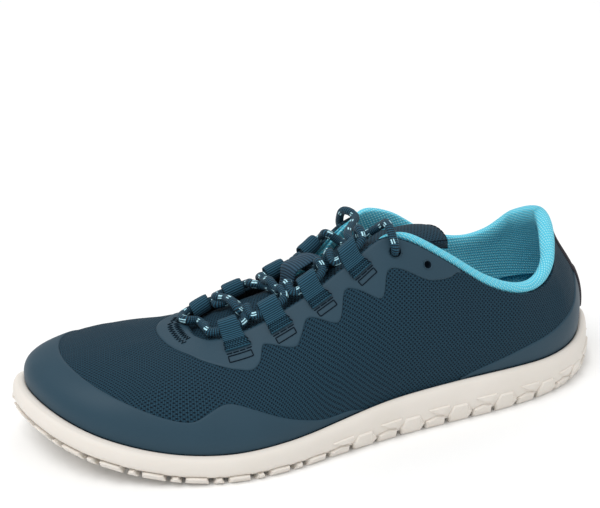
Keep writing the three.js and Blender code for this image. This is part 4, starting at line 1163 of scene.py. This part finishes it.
def wall_inset(turn, up):
    return rim_thickness(turn) * np.interp(up, column(WALL_SECTION, 0), column(WALL_SECTION, 1))


def wall_point(turn, up, inset):
    point, _ = outline(turn, inset)
    floor = floor_at(point)
    point[..., 2] = floor + (rim_at(turn) - floor) * up
    return point


def lug(shell, front, back):
    """A block between two loops of points that face each other, with its edges broken."""
    front, back = np.array(front), np.array(back)
    count = len(front)
    middle = front.mean(0)
    face = front + unit(middle - front) * LUG_CHAMFER
    side = front - unit(front - back) * LUG_CHAMFER
    points = np.concatenate([face, side, back])
    normal = np.cross(front[1] - front[0], front[2] - front[0])
    order = 1 if normal @ (middle - back.mean(0)) > 0 else -1
    shell.add(points, np.arange(count)[None, ::order], np.zeros((1, count, 2)))
    i = np.arange(count)
    j = np.roll(i, -1)
    a, b = np.concatenate([i, i + count]), np.concatenate([j, j + count])
    quads = np.stack([a, a + count, b + count, b], axis=1)[:, ::order]
    shell.join(quads, np.zeros((len(quads), 4, 2)), shell.count - len(points))


def side_lug(shell, start, length, corners):
    share = np.array([s for s, _ in corners])
    up = np.array([u for _, u in corners])
    turn = start + share * length
    relief_here = np.where(up == 0, LUG_RELIEF / 2, LUG_RELIEF)
    front = wall_point(turn, up, wall_inset(turn, up) - relief_here)
    root = wall_point(turn, up, LUG_ROOT + RIM_THICKNESS / 2)
    foot = wall_point(turn, up, EDGE_LUG_REACH)
    back = np.where((up == 0)[:, None], foot, root)
    lug(shell, front, back)


def close_rings(shell, points):
    """Closes the first and the last ring of a closed grid with faces across it."""
    count = len(points)
    half = count // 2
    i = np.arange(1, half - 1)
    across = np.stack([i, i + 1, count - 1 - i, count - i], axis=1)
    ends = np.array([[0, 1, count - 1], [half, half + 1, half - 1]])
    for row, flip in ((0, 1), (-1, -1)):
        ring = points[:, row]
        for faces in (across[:, ::flip], ends[:, ::flip]):
            shell.add(ring, faces, ring[faces][..., :2])


def make_sole():
    turns = np.linspace(0, 1, SOLE_STEPS + 1)
    rim = rim_at(turns)
    floor = floor_at(outline(turns)[0]) + LUG_DEPTH
    heights = np.concatenate([np.linspace(0, 0.9, 19), np.linspace(0.92, 1, 8)])
    smooth = through(WALL_SECTION, 1)(heights)
    rows = []
    for height, inset in zip(heights, smooth):
        point, _ = outline(turns, inset * rim_thickness(turns))
        point[:, 2] = floor + (rim - floor) * height
        rows.append(point)
    lip, _ = outline(turns, 0.86 * rim_thickness(turns))
    lip[:, 2] = rim + 0.05 * MM
    inner, _ = outline(turns, rim_thickness(turns))
    inner[:, 2] = rim - 0.5 * MM
    bed, _ = outline(turns, rim_thickness(turns))
    bed[:, 2] = floor_at(bed) + BED_HEIGHT
    points = np.stack([*rows, lip, inner, bed], axis=1)[:-1]
    along = turns[:, None] * PERIMETER
    up = np.linspace(0, RIM_HEIGHT, points.shape[1])[None, :]
    shell = Shell()
    shell.grid(points, plain_uv(along, up), closed_u=True)
    close_rings(shell, points)
    body = shell.build("sole_body", [WHITE_RUBBER])
    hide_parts("sole")
    lugs = Shell()

    def run(start, end, pitch, shapes):
        count = round((end - start) * PERIMETER / pitch)
        for k in range(count):
            for corners in shapes:
                side_lug(lugs, start + k * (end - start) / count, (end - start) / count, corners)

    run(MOTIF_INNER_END - 1, MOTIF_OUTER_END, MOTIF_LENGTH, SIDE_LUGS)
    run(MOTIF_OUTER_END, MOTIF_INNER_END, FOREFOOT_LUG_LENGTH, FOREFOOT_LUGS)
    ring, _ = outline(np.linspace(0, 1, 241))
    rows = math.floor((SOLE_LENGTH - 2 * TREAD_MARGIN) / TREAD_ROW)
    for k in range(rows + 1):
        y = (k - rows / 2) * TREAD_ROW
        near = ring[np.abs(ring[:, 1] - y) < SOLE_LENGTH / 100, 0]
        room = near.max() - near.min() - 2 * TREAD_MARGIN - TREAD_RADIUS
        count = math.floor(room / TREAD_ROW) + 1
        for m in range(count):
            x = (near.min() + near.max()) / 2 + (m - (count - 1) / 2) * TREAD_ROW
            angles = np.radians(np.arange(60, 361, 60))
            foot = vector(x + TREAD_RADIUS * np.cos(angles), y + TREAD_RADIUS * np.sin(angles), 0)
            foot[:, 2] = floor_at(foot)
            lug(lugs, foot, foot + np.array([0, 0, LUG_DEPTH + LUG_ROOT]))
    lugs.build("sole_lugs", [WHITE_RUBBER], smooth=False)


# Insole


INSOLE_STEPS = 240
# The insole's rounded edge: inset in mm, height as a share of its thickness
INSOLE_EDGE = [(0, 0), (0, 0.75), (0.3, 0.92), (1.2, 1.0)]
INSOLE_RINGS = (0.12, 0.3, 0.6, 0.85)


def make_insole():
    turns = np.linspace(0, 1, INSOLE_STEPS + 1)
    inset = skin_inset(turns) + UPPER_WALL + GAP
    rows = []
    for extra, height in INSOLE_EDGE:
        point, _ = outline(turns, inset + extra * MM)
        point[:, 2] = floor_at(point) + BED_HEIGHT + GAP + INSOLE_THICKNESS * height
        rows.append(point)
    ring = rows[-1]
    middle = np.stack([0.35 * ring[:, 0] + 0.65 * ring[::-1, 0], ring[:, 1], ring[:, 2]], axis=1)
    for share in INSOLE_RINGS:
        point = ring + (0.5 * (ring + middle) - ring) * share
        point[:, 2] = floor_at(point) + BED_HEIGHT + GAP + INSOLE_THICKNESS
        rows.append(point)
    points = np.stack(rows, axis=1)[:-1]
    uv = points[..., :2]
    uv = np.concatenate([uv, uv[:1]])
    shell = Shell()
    shell.grid(points, uv, closed_u=True)
    close_rings(shell, points)
    insole = shell.build("cloth_insole", [INSOLE_CLOTH])
    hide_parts("insole")


# Tongue

tongue_crown = through(TONGUE_ROWS, 1)
tongue_under = through(TONGUE_ROWS, 2)


def tongue_row(turn, across):
    """Points of the tongue's upper face at turns and shares of the way across, outer side first."""
    turn, across = as_arrays(turn, across)
    depth = -(UPPER_WALL + GAP + tongue_under(turn) * (LINING_THICKNESS + GAP))

    def edge(t, level):
        return bare_skin(t, level) + skin_out(t, np.full(t.shape, level)) * depth[..., None]

    left, right = edge(turn, TONGUE_LEVEL), edge(1 - turn, TONGUE_LEVEL)
    left_way = unit(edge(turn, 1.0) - left)
    right_way = unit(edge(1 - turn, 1.0) - right)
    reach = (np.linalg.norm(left - right, axis=-1) * tongue_crown(turn))[..., None]
    a = across[..., None]
    b = 1 - a
    near, far = left + left_way * reach, right + right_way * reach
    return b**3 * left + 3 * b**2 * a * near + 3 * b * a**2 * far + a**3 * right


def above_tongue(turn, across, height):
    """Points so far above the tongue."""
    turn, across = np.asarray(turn, float), np.asarray(across, float)
    way = tongue_row(turn - SKIN_STEP, across) - tongue_row(turn + SKIN_STEP, across)
    side = tongue_row(turn, across + 0.05) - tongue_row(turn, across - 0.05)
    up = unit(np.cross(way, side))
    up = np.where(up[..., 2:] < 0, -up, up)
    return tongue_row(turn, across) + up * np.asarray(height)[..., None]


TONGUE_DROOP = 3.5 * MM
TONGUE_FRONT = 0.46
TONGUE_COLUMNS = 41
TONGUE_STEPS = 110
TONGUE_TOP_STEPS = 46
# Row where the bound free end begins, and the binding's width in columns
TONGUE_BOUND = 100
TONGUE_BINDING = 3
# The seam runs this many rows in from the free end
SEAM_INSET = 7


def make_tongue():
    across = np.linspace(0, 1, TONGUE_COLUMNS)
    turns = np.linspace(TONGUE_FRONT, TONGUE_ROWS[0][0], TONGUE_STEPS)
    rows = list(tongue_row(turns[:, None], across[None, :]))
    last = rows[-1]
    middle = (last[0] + last[-1]) / 2
    steps = np.linspace(0, len(TONGUE_TOP) - 1, TONGUE_TOP_STEPS)[1:]
    index = np.arange(len(TONGUE_TOP), dtype=float)
    shares = [column(TONGUE_TOP, i) for i in range(3)]
    columns = [hermite(index, share, middle_slopes(index, share), steps) for share in shares]
    for back, up, half in zip(*columns):
        row = last.copy()
        row[:, 0] = middle[0] + (last[:, 0] - middle[0]) * half
        row[:, 1] += back * SOLE_LENGTH
        row[:, 2] += up * INSTEP_HEIGHT
        row[:, 2] -= TONGUE_DROOP * (back / TONGUE_TOP[-1][0]) ** 2 * (2 * across - 1) ** 2
        rows.append(row)
    face = np.array(rows)
    way = np.gradient(face, axis=0)
    side = np.gradient(face, axis=1)
    down = unit(np.cross(side, way))
    down = np.where(down[..., 2:] > 0, -down, down)
    edge = np.minimum(across, 1 - across)
    thin = smoothstep(0, 0.10, edge)[None, :]
    end = smoothstep(0, 6, np.arange(len(face))[::-1])[:, None]
    thick = TONGUE_THICKNESS * (0.35 + 0.65 * thin * end)
    crown = 0.5 * (TONGUE_THICKNESS - thick)
    top = face + down * crown[..., None]
    under = face + down * (crown + thick)[..., None]
    points = np.concatenate([top, under[:, ::-1]], axis=1)
    run = run_lengths(face[:, TONGUE_COLUMNS // 2])
    wide = (across - 0.5)[None, :] * np.linalg.norm(face[:, :1] - face[:, -1:], axis=2)
    uv = plain_uv(wide, run[:, None])
    uv = np.concatenate([uv, uv[:, ::-1], uv[:, :1]], axis=1)
    columns = np.arange(TONGUE_COLUMNS)
    side_rows = np.minimum(columns, columns[::-1])
    side_rows = np.concatenate([side_rows, side_rows])[None, :]
    rows = np.arange(len(face))[:, None]
    end_rows = rows[::-1]
    free = rows > TONGUE_BOUND
    kinds = np.where(free & (np.minimum(side_rows, end_rows) < TONGUE_BINDING), 1, 0)
    shell = Shell()
    shell.grid(points, uv, closed_v=True, kind=kinds)
    end_caps(shell, points, uv)
    tongue = shell.build("padded_tongue", [NAVY_MESH, TONGUE_BINDING_CLOTH])
    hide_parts("tongue")
    make_tongue_seam(top, across)


def dashes(shell, path, radius, length, gap):
    """A row of stitches along a path."""
    run = run_lengths(path)
    count = max(1, round(run[-1] / (length + gap)))
    pitch = run[-1] / count
    for k in range(count):
        at = np.linspace(k * pitch + gap / 2, (k + 1) * pitch - gap / 2, 4)
        shell.tube(points_at(path, run, at), radius)


def make_tongue_seam(top, across):
    """Stitches parallel to the edge of the tongue's free end."""
    inset = TONGUE_BINDING + 1
    low = top[TONGUE_BOUND:-SEAM_INSET, inset]
    high = top[TONGUE_BOUND:-SEAM_INSET, -1 - inset][::-1]
    end = top[-SEAM_INSET, inset:-inset]
    path = np.concatenate([low, end, high])
    shell = Shell()
    dashes(shell, path + np.array([0, 0, 0.1 * MM]), 0.28 * MM, 2.2 * MM, 0.9 * MM)
    shell.build("tongue_seam", [DARK_THREAD])


# Webbing


def strip(shell, sections, width_uv, run_uv, thickness):
    """A ribbon. sections: samples across by points along, as its middle surface."""
    way = np.gradient(sections, axis=1)
    side = np.gradient(sections, axis=0)
    normal = unit(np.cross(side, way))
    across = np.linspace(-1, 1, len(sections))
    half = thickness / 2 * (1 - 0.6 * np.abs(across) ** 6)[:, None, None]
    points = np.concatenate([sections + normal * half, (sections - normal * half)[::-1]], axis=0)
    uv = plain_uv(run_uv[None, :], width_uv[:, None])
    uv = np.concatenate([uv, uv[::-1], uv[:1]], axis=0)
    shell.grid(points, uv, closed_u=True)
    end_caps(shell, points.swapaxes(0, 1), uv.swapaxes(0, 1))


def loop_turns(turn, lean, share, up):
    """Turns of a loop's tail at shares of its width: it leans back and widens downwards."""
    rate = top_rate(np.array(turn))
    down = np.clip(-up / LOOP_TAIL, 0, 2)
    width = LOOP_WAIST + (1 - LOOP_WAIST) * np.minimum(down, 1)
    back = (-1 if turn < 0.5 else 1) * lean * down
    return turn + share * LOOP_WIDTH * width * rate + back


LOOP_COLUMNS = 13
TAIL_STEPS = 12
# The loop's bow: from above the skin in front of the lace round to under it, in degrees
BOW_SWEEP = (118, -150)
BOW_STEPS = 30
BOW_PASSES = 3


def make_loop(name, node, turn, lean):
    rate = top_rate(np.array(turn))
    shares = np.linspace(-0.5, 0.5, LOOP_COLUMNS)
    lift = FILM_THICKNESS + WEBBING_THICKNESS / 2
    tail_up = np.linspace(-LOOP_TAIL, -GAP, TAIL_STEPS)
    tail = top_at(loop_turns(turn, lean, shares[:, None], tail_up[None, :]), tail_up[None, :], lift)
    angles = np.radians(np.linspace(*BOW_SWEEP, BOW_STEPS))
    ring = top_at(
        turn + shares[:, None] * LOOP_WIDTH * LOOP_WAIST * rate,
        LOOP_CENTRE + LOOP_RADIUS * np.cos(angles)[None, :],
        LOOP_RISE + LOOP_RADIUS * np.sin(angles)[None, :],
    )
    sections = np.concatenate([tail, ring], axis=1)
    soften(sections, BOW_PASSES, axis=1)
    shell = Shell()
    run = run_lengths(sections[LOOP_COLUMNS // 2])
    strip(shell, sections, shares * LOOP_WIDTH, run, WEBBING_THICKNESS)
    loop = shell.build(name, [TEAL_WEBBING])
    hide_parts(node)


def make_loops():
    stitches = Shell()
    for i, (outer, inner) in enumerate(LOOPS, 1):
        for side, turn in (("outer", outer), ("inner", 1 - inner)):
            lean = TAIL_LEAN[i - 1]
            make_loop(f"webbing_loop_{side}_{i}", f"lace_loop_{side}_{i}", turn, lean)
            stitch_loop(stitches, turn, lean)
    stitches.build("loop_stitches", [DARK_THREAD])


THREAD_RADIUS = 0.27 * MM
THROAT_SEAM_HALF = 0.068
THROAT_SEAM_STEPS = 27
ZIGZAG_STEPS = 19
BOX_START = 2.2 * MM
BOX_HEIGHT = 2.6 * MM
BOX_WIDTH = 9.4 * MM


def stitch_loop(shell, turn, lean):
    """Zig-zags across the end of a loop's tail, a row of dashes and a stitched box below it."""

    def thread_at(share, up, lift):
        return top_at(loop_turns(turn, lean, share, up), up, lift)

    on_film = FILM_THICKNESS + 0.12 * MM
    on_strip = FILM_THICKNESS + WEBBING_THICKNESS + 0.1 * MM
    steps = np.linspace(-0.5, 0.5, ZIGZAG_STEPS)
    for low, high in ((0.3, 1.9), (2.3, 3.9)):
        up = -LOOP_TAIL + np.where(np.arange(ZIGZAG_STEPS) % 2 == 0, low, high) * MM
        shell.tube(thread_at(steps, up, on_strip), THREAD_RADIUS)
    dashes(shell, thread_at(steps, -LOOP_TAIL - BOX_START / 2, on_film), THREAD_RADIUS, 2.4 * MM, 0.9 * MM)
    near, far = -LOOP_TAIL - BOX_START, -LOOP_TAIL - BOX_START - BOX_HEIGHT
    ends = np.linspace(near, far, 6)
    inner = steps * BOX_WIDTH / LOOP_WIDTH
    box = [
        thread_at(inner, near, on_film),
        thread_at(inner[-1], ends, on_film),
        thread_at(inner[::-1], far, on_film),
        thread_at(inner[0], ends[::-1], on_film),
    ]
    dashes(shell, np.concatenate(box), THREAD_RADIUS, 1.7 * MM, 0.45 * MM)


KEEPER_COLUMNS = 15
KEEPER_STEPS = 60
KEEPER_PASSES = 6
KEEPER_WIDTH_TURN = 0.265
# Rows of the keeper that its zigzag stitches run along
KEEPER_SEAMS = (4, 56)


def make_keeper():
    shares = np.linspace(-0.5, 0.5, KEEPER_COLUMNS)
    width = np.linalg.norm(tongue_row(KEEPER_WIDTH_TURN, 0.0) - tongue_row(KEEPER_WIDTH_TURN, 1.0))
    index = np.arange(len(KEEPER_TURNS), dtype=float)
    fine = np.linspace(0, len(KEEPER_TURNS) - 1, KEEPER_STEPS)
    turns = np.interp(fine, index, KEEPER_TURNS)
    rise = np.interp(fine, index, KEEPER_RISE)
    soften(rise, KEEPER_PASSES)
    height = WEBBING_THICKNESS / 2 + 0.1 * MM + rise * KEEPER_HEIGHT
    across = KEEPER_MIDDLE + shares * KEEPER_WIDTH / width
    sections = above_tongue(turns[None, :], across[:, None], height[None, :])
    shell = Shell()
    run = run_lengths(sections[KEEPER_COLUMNS // 2])
    strip(shell, sections, shares * KEEPER_WIDTH, run, WEBBING_THICKNESS)
    keeper = shell.build("webbing_keeper", [KEEPER_WEBBING])
    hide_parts("tongue_keeper")
    stitches = Shell()
    face = above_tongue(turns[None, :], across[:, None], height[None, :] + WEBBING_THICKNESS / 2)
    for row in KEEPER_SEAMS:
        zigzag = [face[k, row + (1 if k % 2 else -1)] for k in range(1, KEEPER_COLUMNS - 1)]
        stitches.tube(np.array(zigzag), 0.3 * MM)
    stitches.build("keeper_stitches", [DARK_THREAD])


# Lace

LACE_RUNS = [
    [("outer", 0), ("inner", 1), ("outer", 2), ("inner", 3), ("outer", 4)],
    [("inner", 0), ("outer", 1), ("inner", 2), ("outer", 3), ("inner", 4)],
]
LACE_BAR_SHARES = np.array([0.36, 0.5, 0.64])
LACE_BEND = 0.7 * MM
LACE_PAST = 6.2 * MM
LACE_DIP = 0.3
LACE_STEP = 0.75 * MM
LACE_PASSES = 5
LACE_SPAN_STEPS = 14
# The cord is drawn a little thinner than its CAD piece
LACE_SLIMNESS = 0.92
# Height of a bar that lies over another, as shares of LACE_DIAMETER
BAR_ARCH = np.array([0.55, 1.0, 0.55])
BAR_LIFT = 0.7 * MM
EYELET_WAY = [(1.85, -1.70), (1.65, -0.10), (0.85, 0.95)]


def own_turn(side, turn):
    return turn if side == "outer" else 1 - turn


def off_loop(stop, end, past):
    """The lace's middle just off a loop's end (-1 in front, 1 behind), and past it."""
    side, loop = stop
    turn = own_turn(side, LOOPS[loop][side == "inner"])
    forward = -end if side == "outer" else end
    reach = forward * (LOOP_WIDTH / 2 + LACE_RADIUS + LACE_BEND)
    return top_at(turn, LOOP_CENTRE + past, LOOP_RISE - past * LACE_DIP) + top_way(turn) * reach


def off_turn(stop, end):
    side, loop = stop
    if loop == len(LOOPS):
        return HOLES[0][0] + 0.008
    turn = LOOPS[loop][side == "inner"]
    rate = top_rate(np.array(own_turn(side, turn)))
    return turn - end * rate * (LOOP_WIDTH / 2 + LACE_RADIUS + LACE_BEND)


def bar_points(side, start, end, over):
    shares = LACE_BAR_SHARES if side == "outer" else 1 - LACE_BAR_SHARES
    height = LACE_RADIUS + BAR_LIFT + over * BAR_ARCH * LACE_DIAMETER
    return list(above_tongue(start + (end - start) * LACE_BAR_SHARES, shares, height))


def to_eyelet(side):
    turn, level, _ = HOLES[0]
    own = own_turn(side, turn)
    lift = FILM_THICKNESS + LACE_RADIUS + 0.5 * MM
    over = [top_at(own, up * LACE_DIAMETER, out * lift) for up, out in EYELET_WAY]
    mouth = surface(own, level + 0.01, 2.0 * MM)
    inside = surface(own, level, -0.6 * MM)
    behind = surface(own, level - 0.01, -1.7 * MM)
    return [*over, mouth, inside, behind]


def lace_points(run):
    points = []
    for stop, following in zip(run, [*run[1:], None]):
        if stop[1] == len(LOOPS):
            points += to_eyelet(stop[0])
            break
        points += [off_loop(stop, -1, LACE_PAST), off_loop(stop, -1, 0)]
        points += [off_loop(stop, 1, 0), off_loop(stop, 1, LACE_PAST)]
        over = 1.0 if stop[0] == "outer" else 0.0
        bar = bar_points(stop[0], off_turn(stop, 1), off_turn(following, -1), over)
        points += bar if following[1] < len(LOOPS) else bar[:-1]
    return points


def make_lace():
    first, second = [lace_points(run) for run in LACE_RUNS]
    outer, inner = LACE_RUNS[0][0], LACE_RUNS[1][0]
    front = bar_points("outer", off_turn(outer, -1), off_turn(inner, -1), 0.0)
    whole = [*reversed(first), *front, *second]
    path = catmull_rom(np.array(whole), False, LACE_SPAN_STEPS)
    run = run_lengths(path)
    path = points_at(path, run, np.linspace(0, run[-1], round(run[-1] / LACE_STEP)))
    soften(path, LACE_PASSES)
    shell = Shell()
    shell.tube(path, LACE_RADIUS * LACE_SLIMNESS, sides=LACE_SIDES)
    lace = shell.build("round_lace", [BRAIDED_LACE])
    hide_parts("lace")


def make_throat_seam():
    """Zig-zag stitches straight across the front of the throat."""
    turns = np.linspace(0.5 - THROAT_SEAM_HALF, 0.5 + THROAT_SEAM_HALF, THROAT_SEAM_STEPS)
    shell = Shell()
    for near, far in ((2.2, 3.8), (4.4, 5.8)):
        up = -np.where(np.arange(THROAT_SEAM_STEPS) % 2 == 0, near, far) * MM
        shell.tube(top_at(turns, up, FILM_THICKNESS + 0.1 * MM), THREAD_RADIUS)
    shell.build("throat_seam", [DARK_THREAD])


# A hole's edge: distance from the hole's edge and height above the skin, in mm
HOLE_PROFILE = [(0.55, 0.72), (0.1, 0.6), (-0.15, 0.1), (-0.2, -1.9)]
# The dark floor that closes each hole lies this deep: painted shade where the lining would show through
HOLE_FLOOR = 1.9 * MM


def make_hole_walls():
    """The cut edges of the punched holes, through film and mesh. Their walls and a floor that closes each
    hole are dark: painted shade inside the holes.
    """
    shell = Shell()
    for turn, level, diameter in HOLES:
        for side in (turn, 1 - turn):
            centre = surface(side, level)
            axis = skin_out(side, np.asarray(level))
            across = unit(np.cross(axis, [0, 0, 1.0]))
            other = np.cross(axis, across)
            angles = np.linspace(0, 2 * np.pi, 33)
            ring = across * np.cos(angles)[:, None] + other * np.sin(angles)[:, None]
            rows = [centre + ring * (diameter / 2 + a * MM) + axis * h * MM for a, h in HOLE_PROFILE]
            rows.append(np.broadcast_to(centre - axis * HOLE_FLOOR, rows[0].shape))
            points = np.stack(rows, axis=1)
            uv = plain_uv(angles[:, None] * diameter / 2, np.linspace(0, 3 * MM, 5)[None, :])
            # Below the film's rim the walls and the floor take the dark thread's colour: painted shade
            # inside the hole
            kinds = np.broadcast_to([0, 1, 1, 1, 1], points.shape[:2])
            shell.grid(points[:-1], uv, closed_u=True, kind=kinds)
    shell.build("hole_edges_and_painted_shade", [MATT_FILM, DARK_THREAD])


# Camera, light and floor


def hang(name, data, azimuth, elevation, distance, aim):
    """A camera or a lamp at a direction and distance from its aim, turned towards it."""
    thing = bpy.data.objects.new(name, data)
    bpy.context.scene.collection.objects.link(thing)
    a, e = math.radians(azimuth), math.radians(elevation)
    back = Vector((math.sin(a) * math.cos(e), -math.cos(a) * math.cos(e), math.sin(e)))
    thing.location = aim + back * distance
    thing.rotation_mode = "QUATERNION"
    thing.rotation_quaternion = (-back).to_track_quat("-Z", "Y")
    return thing


def make_camera():
    data = bpy.data.cameras.new("camera")
    place = (CAMERA_AZIMUTH, CAMERA_ELEVATION, CAMERA_DISTANCE, CAMERA_AIM)
    data.sensor_width = SENSOR_WIDTH
    data.lens = FOCAL_PIXELS * SENSOR_WIDTH / IMAGE_WIDTH
    data.clip_start = 0.01
    data.clip_end = 20
    bpy.context.scene.camera = hang("camera", data, *place)


def area_light(name, azimuth, elevation, distance, size, power):
    light = bpy.data.lights.new(name, "AREA")
    light.shape = "DISK"
    light.size = size
    light.energy = power
    hang(name, light, azimuth, elevation, distance, Vector())


FLOOR_REACH = 4
WORLD_STRENGTH = 0.62
# Lamps: name, azimuth, elevation, distance, size, power
LAMPS = [
    ("key", 20, 62, 2.8, 2.1, 42),
    ("fill", 120, 35, 1.8, 1.4, 2.5),
    ("rim", -120, 50, 1.8, 1.0, 4),
]


def make_studio():
    mesh = bpy.data.meshes.new("studio_floor")
    corners = [(-1, -1), (1, -1), (1, 1), (-1, 1)]
    mesh.from_pydata([(x * FLOOR_REACH, y * FLOOR_REACH, 0) for x, y in corners], [], [(0, 1, 2, 3)])
    floor = bpy.data.objects.new("studio_floor", mesh)
    bpy.context.scene.collection.objects.link(floor)
    paint = Paint("studio_white", 0.9, specular_ior_level=0.1)
    paint.colour(paint.mix(paint.noise(0.5), (0.95, 0.95, 0.945), (0.97, 0.97, 0.965)))
    mesh.materials.append(paint.material)
    world = bpy.data.worlds.new("studio")
    bpy.context.scene.world = world
    world.use_nodes = True
    sky = world.node_tree.nodes["Background"]
    sky.inputs["Color"].default_value = (1, 1, 1, 1)
    sky.inputs["Strength"].default_value = WORLD_STRENGTH
    for lamp in LAMPS:
        area_light(*lamp)
    bpy.context.scene.view_settings.view_transform = "Standard"


make_camera()
make_studio()
make_sole()
make_upper()
make_films()
make_heel_tape()
make_lining()
make_insole()
make_tongue()
make_loops()
make_keeper()
make_lace()
make_throat_seam()
make_hole_walls()
